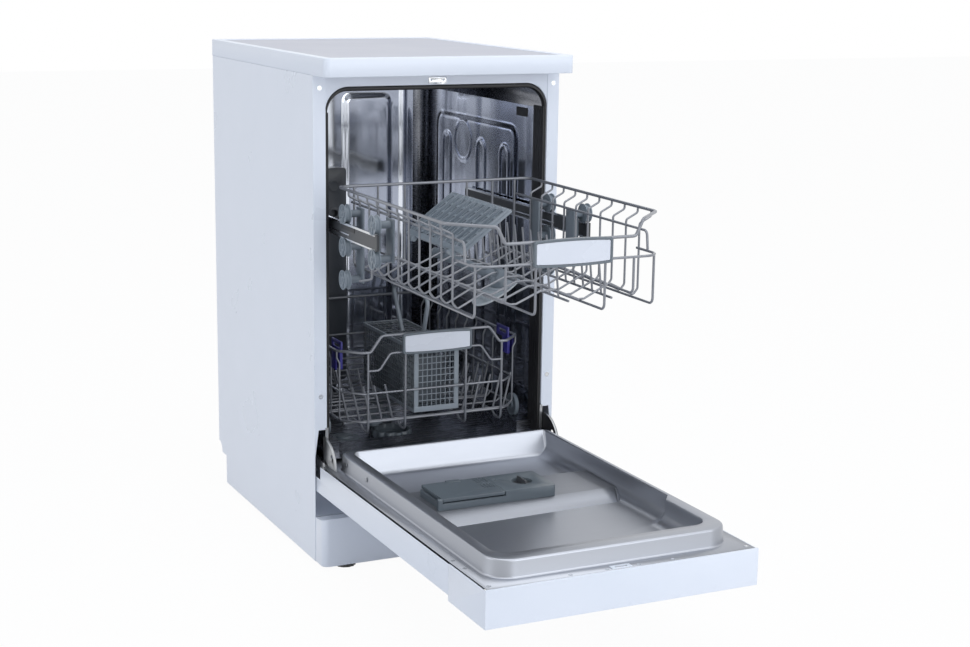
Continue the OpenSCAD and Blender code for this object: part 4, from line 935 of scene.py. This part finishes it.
# %% [markdown]
# The rail is a folded channel: a dark web between two thin bright lips, with a dark stop at its
# end. The web is drawn dark grey, partly the rail's dark ball cage and partly painted shade inside
# the channel, and black strips in its slots are painted shade. The rack's front bracket carries a
# lever bar and a hooked wire that stops the rack.

# %% Rails and brackets
rail_low, rail_high = box_mm("rails")
R_IN, R_OUT = 183.0, min(rail_high[0], 188.0)
R_Z0, R_Z1, R_Y0, R_Y1 = rail_low[2], rail_high[2], rail_low[1], rail_high[1]
blocks("rail_lips", [((R_IN, R_Y0 + 8, R_Z1 - 4), (R_OUT, R_Y1, R_Z1)),
                     ((R_IN, R_Y0 + 8, R_Z0), (R_OUT, R_Y1, R_Z0 + 3)),
                     ((R_IN + 0.6, R_Y0 + 120, R_Z0 + 8), (R_OUT - 0.6, R_Y1, R_Z0 + 10.5))],
       "rails", "bright_steel", nodes=("rails",), bevel=0.5, both=True)
# The web is the rail's steel drawn dark grey: partly its dark ball cage, partly painted shade
# inside the channel.
blocks("rail_webs", [((R_IN + 1.2, R_Y0 + 8, R_Z0 + 2), (R_OUT - 1.2, R_Y1, R_Z1 - 3))],
       "rails", "bright_steel", bevel=0.3, finish_name="dark_grey_plastic", both=True)
# Black strips in the rail's slots: painted shade.
blocks("rail_slot_shade", [((R_OUT - 2, -91, 577), (R_OUT - 0.6, -34, 584))], "rails", "black_plastic",
       bevel=0.2, both=True)
blocks("rail_stops", [((R_IN + 0.3, R_Y0, R_Z0 + 1), (R_OUT - 0.2, R_Y0 + 9, R_Z1 - 1)),
                      ((R_IN + 0.4, R_Y0 + 9, R_Z0 + 4), (R_IN + 1.0, R_Y0 + 96, R_Z1 - 5))],
       "rails", "dark_grey_plastic", bevel=0.6, both=True)
lever_y = middle_mm("upper_rollers_front_top")[1]
blocks("lever_bars", [((172, lever_y + 6, R_Z0 - 12), (177.5, lever_y + 15, R_Z1 + 12))],
       "upper_rack", "grey_plastic", bevel=1.2, both=True)
wires("rack_stop_hooks", both_sides(bend([(-158, -92, 536), (-158, -92, 501), (-178, -88, 499)],
      [0, 4, 0])), 4.0, "upper_rack", sides=10)
print("rails", round(R_Y1 - R_Y0), "mm long")

# %% [markdown]
# The spray arm under the upper rack is a shallow boat: a flat deck with a bright rim over a rounded
# hull. It is lofted from cross-sections along its length.


# %% Spray arm, caps and feet
UP = (0, 0, 1)
DECK_DROP, JET_START, JET_STEP = 1.1, 40, 18


def boat(name, length, width, depth, top, turn, node):
    """A spray arm of a half length, a width and a depth, turned about its middle, with jets."""
    shell = bmesh.new()
    middle = Vector((*middle_mm(node)[:2], top))
    spin = Matrix.Rotation(math.radians(turn), 3, "Z")
    rings = []
    steps = 36
    for k in range(steps + 1):
        s = math.sin((-1 + 2 * k / steps) * math.pi / 2)
        full = max(1 - abs(s) ** 2.6, 0.0) ** 0.5
        half, deep = max(width / 2 * full, 0.8), max(depth * full ** 0.7, 0.8)
        ring = [(-half * 0.8, -DECK_DROP), (-half * 0.86, 0.0), (-half * 0.97, 0.0), (-half, -0.5)]
        for j in range(1, 12):
            angle = math.pi * j / 12
            ring.append((-half * math.cos(angle), -deep * (0.12 + 0.88 * math.sin(angle))))
        ring += [(half, -0.5), (half * 0.97, 0.0), (half * 0.86, 0.0), (half * 0.8, -DECK_DROP)]
        rings.append([shell.verts.new(place(*(middle + spin @ Vector((s * length, y, z)))))
                      for y, z in ring])
    skin(shell, rings)
    shell.faces.new(list(reversed(rings[0])))
    shell.faces.new(rings[-1])
    to_piece(shell, name, "light_grey_plastic", BODY_OF[node], (node,), smooth=50)
    jets = []
    for side in (-1, 1):
        for k in range(5):
            at = spin @ Vector((side * (JET_START + JET_STEP * k), side * 2, 0))
            jets.append((tuple(middle + at - Vector((0, 0, DECK_DROP))), UP))
    lathe(name + "_jets", [(3.4, 0), (3.0, 1.0), (1.4, 1.0), (1.2, 0.4)], jets, BODY_OF[node],
          "light_grey_plastic", sides=12)
    return middle


ARM_TOP = box_mm("upper_spray_arm")[0][2] + 9
arm_middle = boat("upper_arm_boat", 134, 38, 9, ARM_TOP, 50, "upper_spray_arm")
lathe("upper_arm_hub", [(16, -0.8), (15, 1.4), (12, 2.6), (4.6, 2.6), (4.6, 12)],
      [(tuple(arm_middle), UP)], "upper_spray_arm", "light_grey_plastic")

salt_top = box_mm("salt_cap")[1][2]
lathe("salt_cap_wheel", [(23, -16), (23, 0.2), (29, 0.4), (29, 8.4), (27.6, 9.6), (15, 9.8),
                         (13.5, 12.8), (0.6, 13)],
      [((-122, 124, salt_top - 13), UP)], "salt_cap", "dark_grey_plastic",
      nodes=("salt_cap",), sides=96, wave=(3.2, 8, 26), finish_name="frame_plastic")
cup_foot = box_mm("filter_cup")[0][2]
lathe("filter_crown", [(26.2, 0), (29, 0), (29, 72), (36, 75.2), (36, 86), (35.2, 87), (31.6, 87),
                       (30.8, 86), (30.8, 76), (26.2, 74)],
      [((-30, 130, cup_foot), UP)], "filter_cup", "dark_grey_plastic",
      nodes=("filter_cup",), sides=144, closed=True, wave=(3.6, 12, 31),
      finish_name="frame_plastic")
for node in ("front_left_foot", "front_right_foot"):
    lathe(node + "_disc",
          [(16, 0), (18, 0.6), (18, 4.4), (14.4, 4.5), (8, 11.6), (5, 11.7), (5, 40)],
          [((*middle_mm(node)[:2], 0), UP)], BODY_OF[node], "black_plastic", nodes=(node,),
          sides=72, wave=(1.6, 12, 17))
print("spray arm, salt cap, filter crown, feet")

# %% [markdown]
# The cutlery basket is a moulded grid. Every face is a run of thin square bars, so the same wire
# tree builds it, with four sides to a bar. Broad posts frame its front.

# %% Cutlery basket
(B_X0, B_Y0, B_Z0), (B_X1, B_Y1, _) = box_mm("cutlery_basket")
B_Z1 = B_Z0 + 113
B_WIDE, B_DEEP = B_X1 - B_X0, B_Y1 - B_Y0
B_EDGE, B_POST = 3.4, 8.0
GRID = {"slot": "light_grey_plastic", "sides": 4}


def grid_face(name, origin, across, up, cells, bar, finish_name):
    """Bars both ways over a flat field. across and up are the field's edges."""
    origin, across, up = Vector(origin), Vector(across), Vector(up)
    wires(name + "_uprights", [[origin, origin + up]], bar, "cutlery_basket", count=cells[0] + 1,
          step=across / cells[0], finish_name=finish_name, **GRID)
    wires(name + "_levels", [[origin, origin + across]], bar, "cutlery_basket", count=cells[1] + 1,
          step=up / cells[1], finish_name=finish_name, **GRID)


wall_h = B_Z1 - B_Z0 - 4
# The front grid keeps the pale grey. The rear, sides, lid and floor take its darker copy: painted
# shade.
for label, origin, across, up, cells, bar, paint in (
        ("front", (B_X0 + 8, B_Y0 + 1.6, B_Z0 + 9), (B_WIDE - 16, 0, 0), (0, 0, wall_h - 12),
         (8, 9), 1.9, "light_grey_plastic"),
        ("rear", (B_X0 + 4, B_Y1 - 1.6, B_Z0 + 6), (B_WIDE - 8, 0, 0), (0, 0, wall_h - 9), (8, 9),
         1.9, "basket_shaded_plastic"),
        ("left", (B_X0 + 1.6, B_Y0 + 4, B_Z0 + 6), (0, B_DEEP - 8, 0), (0, 0, wall_h - 9),
         (24, 10), 1.9, "basket_shaded_plastic"),
        ("right", (B_X1 - 1.6, B_Y0 + 4, B_Z0 + 6), (0, B_DEEP - 8, 0), (0, 0, wall_h - 9),
         (24, 10), 1.9, "basket_shaded_plastic"),
        ("lid", (B_X0 + 3, B_Y0 + 3, B_Z1 - 2), (B_WIDE - 6, 0, 0), (0, B_DEEP - 6, 0), (5, 14),
         2.6, "basket_shaded_plastic"),
        ("floor", (B_X0 + 3, B_Y0 + 3, B_Z0 + 1.4), (B_WIDE - 6, 0, 0), (0, B_DEEP - 6, 0), (7, 18),
         2.4, "basket_shaded_plastic")):
    grid_face(f"basket_{label}", origin, across, up, cells, bar, paint)
rim_boxes = [((x0, B_Y0 + 0.3, B_Z0 + 8), (x1, B_Y0 + 3, B_Z1 - 7))
             for x0, x1 in ((B_X0 + 0.2, B_X0 + B_POST), (B_X1 - B_POST, B_X1 - 0.2))]
rim_boxes += [((B_X0, y0, z0), (B_X1, y1, z1)) for y0, y1, z0, z1 in (
    (B_Y0, B_Y0 + B_EDGE, B_Z0 + 0.4, B_Z0 + 9), (B_Y0, B_Y0 + B_EDGE, B_Z1 - 8, B_Z1),
    (B_Y1 - B_EDGE, B_Y1, B_Z1 - 6, B_Z1), (B_Y1 - B_EDGE, B_Y1, B_Z0, B_Z0 + 6))]
rim_boxes += [((x0, B_Y0 + 3.3, z0), (x1, B_Y1 - 3.3, z1))
              for z0, z1 in ((B_Z0, B_Z0 + 6), (B_Z1 - 6, B_Z1))
              for x0, x1 in ((B_X0, B_X0 + B_EDGE), (B_X1 - B_EDGE, B_X1))]
blocks("basket_frame", rim_boxes, "cutlery_basket", "light_grey_plastic", nodes=("cutlery_basket",),
       bevel=0.6)
walls = [((B_X0 + 3, B_Y0 + B_DEEP * k / 4 - 0.8, B_Z0 + 2),
          (B_X1 - 3, B_Y0 + B_DEEP * k / 4 + 0.8, B_Z1 - 30)) for k in (1, 2, 3)]
# The dividing walls take the darker copy too: painted shade.
blocks("basket_walls", walls, "cutlery_basket", "light_grey_plastic", bevel=0.3,
       finish_name="basket_shaded_plastic")
bow = [((B_X0 + B_X1) / 2, B_Y0 + y, B_Z1 + z)
       for y, z in ((62, -3), (36, 78), (198, 78), (150, -3))]
wires("basket_bow", [bend(bow, [0, 12, 12, 0])], 8.0, "cutlery_basket", slot="light_grey_plastic",
      sides=10)
print("basket", round(B_WIDE), "by", round(B_DEEP), "mm")

# %% [markdown]
# Rubber flaps line both sides of the tub's mouth, with fine upright ridges. A plug closes a hole in
# the right wall.

# %% Seal flaps
flap_z = (186, 760)
ridges = [((194.7, y, flap_z[0] + 4), (195.4, y + 1.3, flap_z[1] - 4)) for y in (9, 17, 25, 33)]
blocks("seal_flaps", [((195.2, 3, flap_z[0]), (196.9, 40, flap_z[1]))] + ridges, "cabinet",
       "black_rubber", bevel=0.2, both=True)
blocks("wall_plug", [((194.6, 65, 737), (196.9, 105, 752))], "cabinet", "black_rubber", bevel=1.1)
print(len(ridges), "ridges on each flap")

# %% [markdown]
# The door's outer panel and its hinge arms are one welded part with two finishes: the panel is
# enamelled and the arms are bare zinc. The right arm's flat faces are drawn black, painted shade
# where it faces the tub. The left arm, the edges and the folded flange along the arc stay bare.
# So the solid is shown as three pieces, split by place.

# %% Door panel and hinge arms
HINGE_Y, HINGE_Z = -6.4, 171.7
ARM_IN, ARM_OUT, ARM_R = 204.5, 206.5, 51.0
ARC_FROM, ARC_TURN, ARC_STEPS = 100, 74, 24


def face_kind(face):
    """Panel, arm face or arm edge, from a face's centre and normal in metres."""
    centre = face.calc_center_median()
    x, y, z = abs(centre.x) / MM, (centre.y - FRONT) / MM, centre.z / MM
    reach = math.hypot(y - HINGE_Y, z - HINGE_Z)
    if not (ARM_IN - 0.3 < x < ARM_OUT + 0.3 and y < 3.2 and z > 141.2 and reach < ARM_R + 2):
        return "panel"
    return "face" if abs(face.normal.x) > 0.5 and centre.x > 0 else "edge"


for name, kind, slot, edge, nodes in (
        ("door_panel", "panel", "white_paint", 0.9, ["door_outer_panel"]),
        # The right arm's zinc faces take black moulding: painted shade.
        ("door_arm_painted_shade", "face", "black_plastic", 0.2, []),
        ("door_arm_edges", "edge", "zinc_sheet", 0.2, [])):
    shell = welded("door_outer_panel")
    unwanted = [face for face in shell.faces if face_kind(face) != kind]
    bmesh.ops.delete(shell, geom=unwanted, context="FACES")
    join_flat(shell)
    finish_piece(add_bevel(smooth_piece(shell, name, slot), edge), "door", slot, *nodes)


def arc_band(side):
    """The flange folded out along the arm's arc."""
    section = []
    for k in range(ARC_STEPS + 1):
        angle = math.radians(ARC_FROM + ARC_TURN * k / ARC_STEPS)
        section.append((math.cos(angle) * (ARM_R - 0.4) + HINGE_Y,
                        math.sin(angle) * (ARM_R - 0.4) + HINGE_Z))
    xs = [side * ARM_IN, side * (ARM_OUT + 2.3)]
    return swept_sheet(f"arm_flange_{'left' if side < 0 else 'right'}",
                       lambda x: [(x, y, z) for y, z in section], xs, "door", "zinc_sheet", 1.0)


for side in (-1, 1):
    arc_band(side)
blocks("hinge_hoods", [((198.3, -0.6, 194), (203.6, 0.6, 236)),
                       ((198.3, -1.2, 231), (200.4, 0.6, 237)),
                       ((201.6, -1.2, 231), (203.6, 0.6, 237))],
       "cabinet", "zinc_sheet", bevel=0.3, both=True)
print("door panel, arms and hinge plates")

# %% [markdown]
# The tub is drawn from bright steel. Its walls carry pressed ribs, which stiffen the sheet and
# catch the light. Each wall is a fine grid whose points are pushed along the wall's normal by a
# soft ridge that follows a few outlines, so the ribs stay smooth at any view.

# %% Tub walls with pressed ribs
tub_low, tub_high = box_mm("tub_shell")
TUB_IN = tub_high[0] - 1.0
TUB_BACK = tub_high[1] - 1.0
TUB_TOP = tub_high[2] - 1.0
TUB_FRONT = tub_low[1]
TUB_CORNER = 40.0
RIB = 3.0
# rounded rectangles: height of the middle, half width, half height, corner radius. The side
# field also has its middle's place behind the front, and the loops have theirs in a list.
BACK_PANEL = (490, 46, 252, 12)
SIDE_FIELD = (272, 500, 168, 214, 24)
SIDE_LOOP, LOOPS_Y = (440, 17, 238, 16), (392, 243, 146)
BOSS_Y, BOSS_Z, BOSS_R = 322, 671, 36


def from_box(u, v, centre_u, centre_v, half_u, half_v, radius):
    """Distance from a rounded rectangle's outline, negative inside."""
    du = abs(u - centre_u) - (half_u - radius)
    dv = abs(v - centre_v) - (half_v - radius)
    return math.hypot(max(du, 0), max(dv, 0)) + min(max(du, dv), 0) - radius


def ridge(distance, width=7.0):
    """A soft ridge along an outline: 1 on it, 0 beyond its width."""
    t = min(abs(distance) / width, 1.0)
    return (1 - t * t) ** 2


def plateau(distance, width=6.0):
    """A raised field with a soft edge: 1 inside, 0 outside."""
    t = min(max(0.5 - distance / (2 * width), 0.0), 1.0)
    return t * t * (3 - 2 * t)


def back_wall_height(x, z):
    """Two tall panels with a fold at each side."""
    panels = [plateau(from_box(x, z, side * 75, *BACK_PANEL)) for side in (-1, 1)]
    folds = [ridge(x - side * 150, 9) * 0.8 for side in (-1, 1)]
    return max(panels + folds)


def side_wall_height(y, z):
    """A raised field with a round boss and three tall loops in it."""
    outline = from_box(y, z, *SIDE_FIELD)
    disc = math.hypot(y - BOSS_Y, z - BOSS_Z) - BOSS_R
    fields = [plateau(outline), ridge(disc, 4) if outline < 0 else 0.0]
    total = fields[0] + 0.5 * fields[1]
    for centre in LOOPS_Y:
        loop = from_box(y, z, centre, *SIDE_LOOP)
        total += 0.7 * ridge(loop, 4.5) * plateau(outline + 8)
    return total


def wall(name, corner, across, up, size, height, steps, nodes=()):
    """A grid wall. corner is its lowest point, across and up its directions, in millimetres."""
    n_u, n_v = steps
    corner, across, up = Vector(corner), Vector(across), Vector(up)
    out = across.cross(up)
    points, faces = [], []
    for j in range(n_v + 1):
        for i in range(n_u + 1):
            u, v = size[0] * i / n_u, size[1] * j / n_v
            flat = corner + across * u + up * v
            along = flat.x if abs(across.x) > 0.5 else flat.y
            edge = min(u, v, size[0] - u, size[1] - v)
            points.append(place(*(flat + out * (RIB * height(along, flat.z) * min(edge / 8, 1)))))
    for j in range(n_v):
        for i in range(n_u):
            a = j * (n_u + 1) + i
            faces.append((a, a + 1, a + n_u + 2, a + n_u + 1))
    mesh = bpy.data.meshes.new(name)
    mesh.from_pydata(points, [], faces)
    mesh.shade_smooth()
    # The back wall takes the brightest copy of the tub's steel, a painted reflection. The side
    # walls take a darker copy, painted shade.
    piece = link(name, mesh, FINISHES["lit_mirror_steel" if "back" in name else "shaded_side_steel"])
    return finish_piece(piece, "cabinet", "stainless", *nodes)


WALL_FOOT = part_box("tub_floor")[0].z / MM + 1
wall("tub_back_wall", (-TUB_IN + 26, TUB_BACK - 0.6, WALL_FOOT), (1, 0, 0), UP,
     (2 * TUB_IN - 52, TUB_TOP - 6 - WALL_FOOT), back_wall_height, (130, 200), nodes=("tub_shell",))
for label, x, y, way in (("right", TUB_IN - 0.6, TUB_BACK - 20, -1),
                         ("left", 0.6 - TUB_IN, TUB_FRONT, 1)):
    wall(f"tub_{label}_wall", (x, y, WALL_FOOT), (0, way, 0), UP,
         (TUB_BACK - 20 - TUB_FRONT, TUB_TOP - TUB_CORNER - WALL_FOOT), side_wall_height,
         (170, 190))


# %% [markdown]
# Around those walls the tub's own wrap closes the corners: its section is the door opening's
# outline, carried to the back. The back corners are rounded by a second, smaller sweep.

# %% Tub wrap and rear corners
REAR_ROUND, REAR_STEPS = 24.0, 7


def arch_row(shell, y, half, foot, top, radius, steps):
    """A row of points over the door opening's arch, at a depth y."""
    corners = [(-half, 0, foot), (-half, 0, top), (half, 0, top), (half, 0, foot)]
    return [shell.verts.new(place(p.x, y, p.z))
            for p in bend(corners, [0, radius, radius, 0], steps=steps)]


def tub_wrap():
    """The arch of the tub from its front edge to the back wall, with a rounded rear corner."""
    shell = bmesh.new()
    depths = [(TUB_FRONT, 0.0), (TUB_BACK - REAR_ROUND, 0.0)]
    for k in range(1, REAR_STEPS + 1):
        angle = math.pi / 2 * k / REAR_STEPS
        depths.append((TUB_BACK - REAR_ROUND + REAR_ROUND * math.sin(angle),
                       REAR_ROUND * (1 - math.cos(angle))))
    rows = [arch_row(shell, y, TUB_IN - squeeze, WALL_FOOT, TUB_TOP - squeeze,
                     max(TUB_CORNER - squeeze, 12.0), 10) for y, squeeze in depths]
    skin(shell, rows, closed=False)
    shell.faces.new(rows[-1])
    bmesh.ops.recalc_face_normals(shell, faces=shell.faces)
    # The wrap takes the darkest copy of the tub's steel: painted shade on the tub's ceiling and
    # corners.
    piece = thicken(smooth_piece(shell, "tub_wrap", "painted_shade_steel", 50), 0.8, offset=1)
    return finish_piece(piece, "cabinet", "stainless")


tub_wrap()
print("tub", round(2 * TUB_IN), "mm wide and", round(TUB_BACK - TUB_FRONT), "mm deep")

# %% [markdown]
# The seal is an extruded rubber strip in the front frame's groove. Its section has a fat outer
# bead and a thin inner lip, so it is drawn once and carried round the opening's arch.

# %% Door seal
seal_low, seal_high = box_mm("door_seal")


def seal_strip():
    """The seal's section is broader over the opening's head than at its sides."""
    front, rear = 2.2, seal_high[1]
    section = [(0.1, 0.1, rear), (0.1, 0.1, front + 2), (1.4, 2.5, front), (3.0, 6.0, front + 0.3),
               (4.0, 7.2, front + 2), (4.4, 7.8, front + 5), (4.4, 7.8, rear)]
    shell = bmesh.new()
    rows = [arch_row(shell, y, seal_high[0] - side, seal_low[2] + 1, seal_high[2] - head,
                     TUB_CORNER - side, 12) for side, head, y in section]
    skin(shell, rows + rows[:1], closed=False)
    shell.faces.new([row[0] for row in rows])
    shell.faces.new([row[-1] for row in reversed(rows)])
    to_piece(shell, "seal_strip", "black_rubber", "cabinet", ("door_seal",), smooth=50)


seal_strip()

# %% [markdown]
# Soft studio light: a large overhead panel, a broad panel in front and a weaker one at the left.
# To the camera and to reflections the world is white, while its own light stays low, so white
# enamel keeps its shading. The floor is plain and pale, lifted towards white in the same way, and
# it still takes the machine's shadow.

# %% Floor, world and lamps
FLOOR, FLOOR_SHARE = 12.0, 0.96
floor_mesh = bpy.data.meshes.new("floor")
floor_mesh.from_pydata([(-FLOOR, -FLOOR, 0), (FLOOR, -FLOOR, 0), (FLOOR, FLOOR, 0),
                        (-FLOOR, FLOOR, 0)], [], [(0, 1, 2, 3)])


def seen_mask(tree, share):
    """1 times share for camera, glossy and transmission rays, 0 for the light itself."""
    kind = tree.nodes.new("ShaderNodeLightPath")
    source = kind.outputs["Is Camera Ray"]
    for name in ("Is Glossy Ray", "Is Transmission Ray"):
        larger = tree.nodes.new("ShaderNodeMath")
        larger.operation = "MAXIMUM"
        tree.links.new(source, larger.inputs[0])
        tree.links.new(kind.outputs[name], larger.inputs[1])
        source = larger.outputs[0]
    scaled = tree.nodes.new("ShaderNodeMath")
    scaled.operation = "MULTIPLY"
    scaled.inputs[1].default_value = share
    tree.links.new(source, scaled.inputs[0])
    return scaled.outputs[0]


def mix_seen(tree, share, hidden, seen, target):
    """Shows the light one shader, and the camera another one by the mask's share."""
    blend = tree.nodes.new("ShaderNodeMixShader")
    tree.links.new(seen_mask(tree, share), blend.inputs["Fac"])
    tree.links.new(hidden.outputs[0], blend.inputs[1])
    tree.links.new(seen.outputs[0], blend.inputs[2])
    tree.links.new(blend.outputs[0], target.inputs["Surface"])


floor_paint = bpy.data.materials.new("studio_floor")
floor_paint.use_nodes = True
tree = floor_paint.node_tree
matt = tree.nodes["Principled BSDF"]
matt.inputs["Base Color"].default_value = (0.86, 0.86, 0.87, 1)
matt.inputs["Roughness"].default_value = 0.7
glow = tree.nodes.new("ShaderNodeEmission")
glow.inputs["Strength"].default_value = 1.0
mix_seen(tree, FLOOR_SHARE, matt, glow, tree.nodes["Material Output"])
floor = link("floor", floor_mesh, floor_paint)

world = bpy.data.worlds.new("studio")
bpy.context.scene.world = world
world.use_nodes = True
tree = world.node_tree
tree.nodes.clear()
soft, white = tree.nodes.new("ShaderNodeBackground"), tree.nodes.new("ShaderNodeBackground")
soft.inputs["Color"].default_value = (0.84, 0.90, 1.0, 1)
soft.inputs["Strength"].default_value = 0.5
white.inputs["Strength"].default_value = 1.0
white.inputs["Color"].default_value = (1.0, 1.0, 1.0, 1)
mix_seen(tree, 1.0, soft, white, tree.nodes.new("ShaderNodeOutputWorld"))


def lamp(name, at, look, size, power):
    """A rectangular area lamp that looks at a point. Places are in metres."""
    data = bpy.data.lights.new(name, "AREA")
    data.shape = "RECTANGLE"
    data.size, data.size_y = size
    data.energy = power
    data.color = (0.96, 0.98, 1.0)
    made = bpy.data.objects.new(name, data)
    bpy.context.scene.collection.objects.link(made)
    made.location = at
    made.rotation_euler = (Vector(look) - Vector(at)).to_track_quat("-Z", "Y").to_euler()


lamp("top_panel", (0.2, -0.6, 3.2), (0, -0.1, 0.5), (4.2, 3.6), 56)
lamp("front_panel", (1.0, -3.8, 1.7), (0, 0, 0.5), (3.2, 2.6), 50)
lamp("left_panel", (-3.4, 0.2, 1.4), (0, 0.1, 0.5), (2.0, 2.2), 14.5)
bpy.context.scene.view_settings.view_transform = "Standard"
print("three soft lamps")
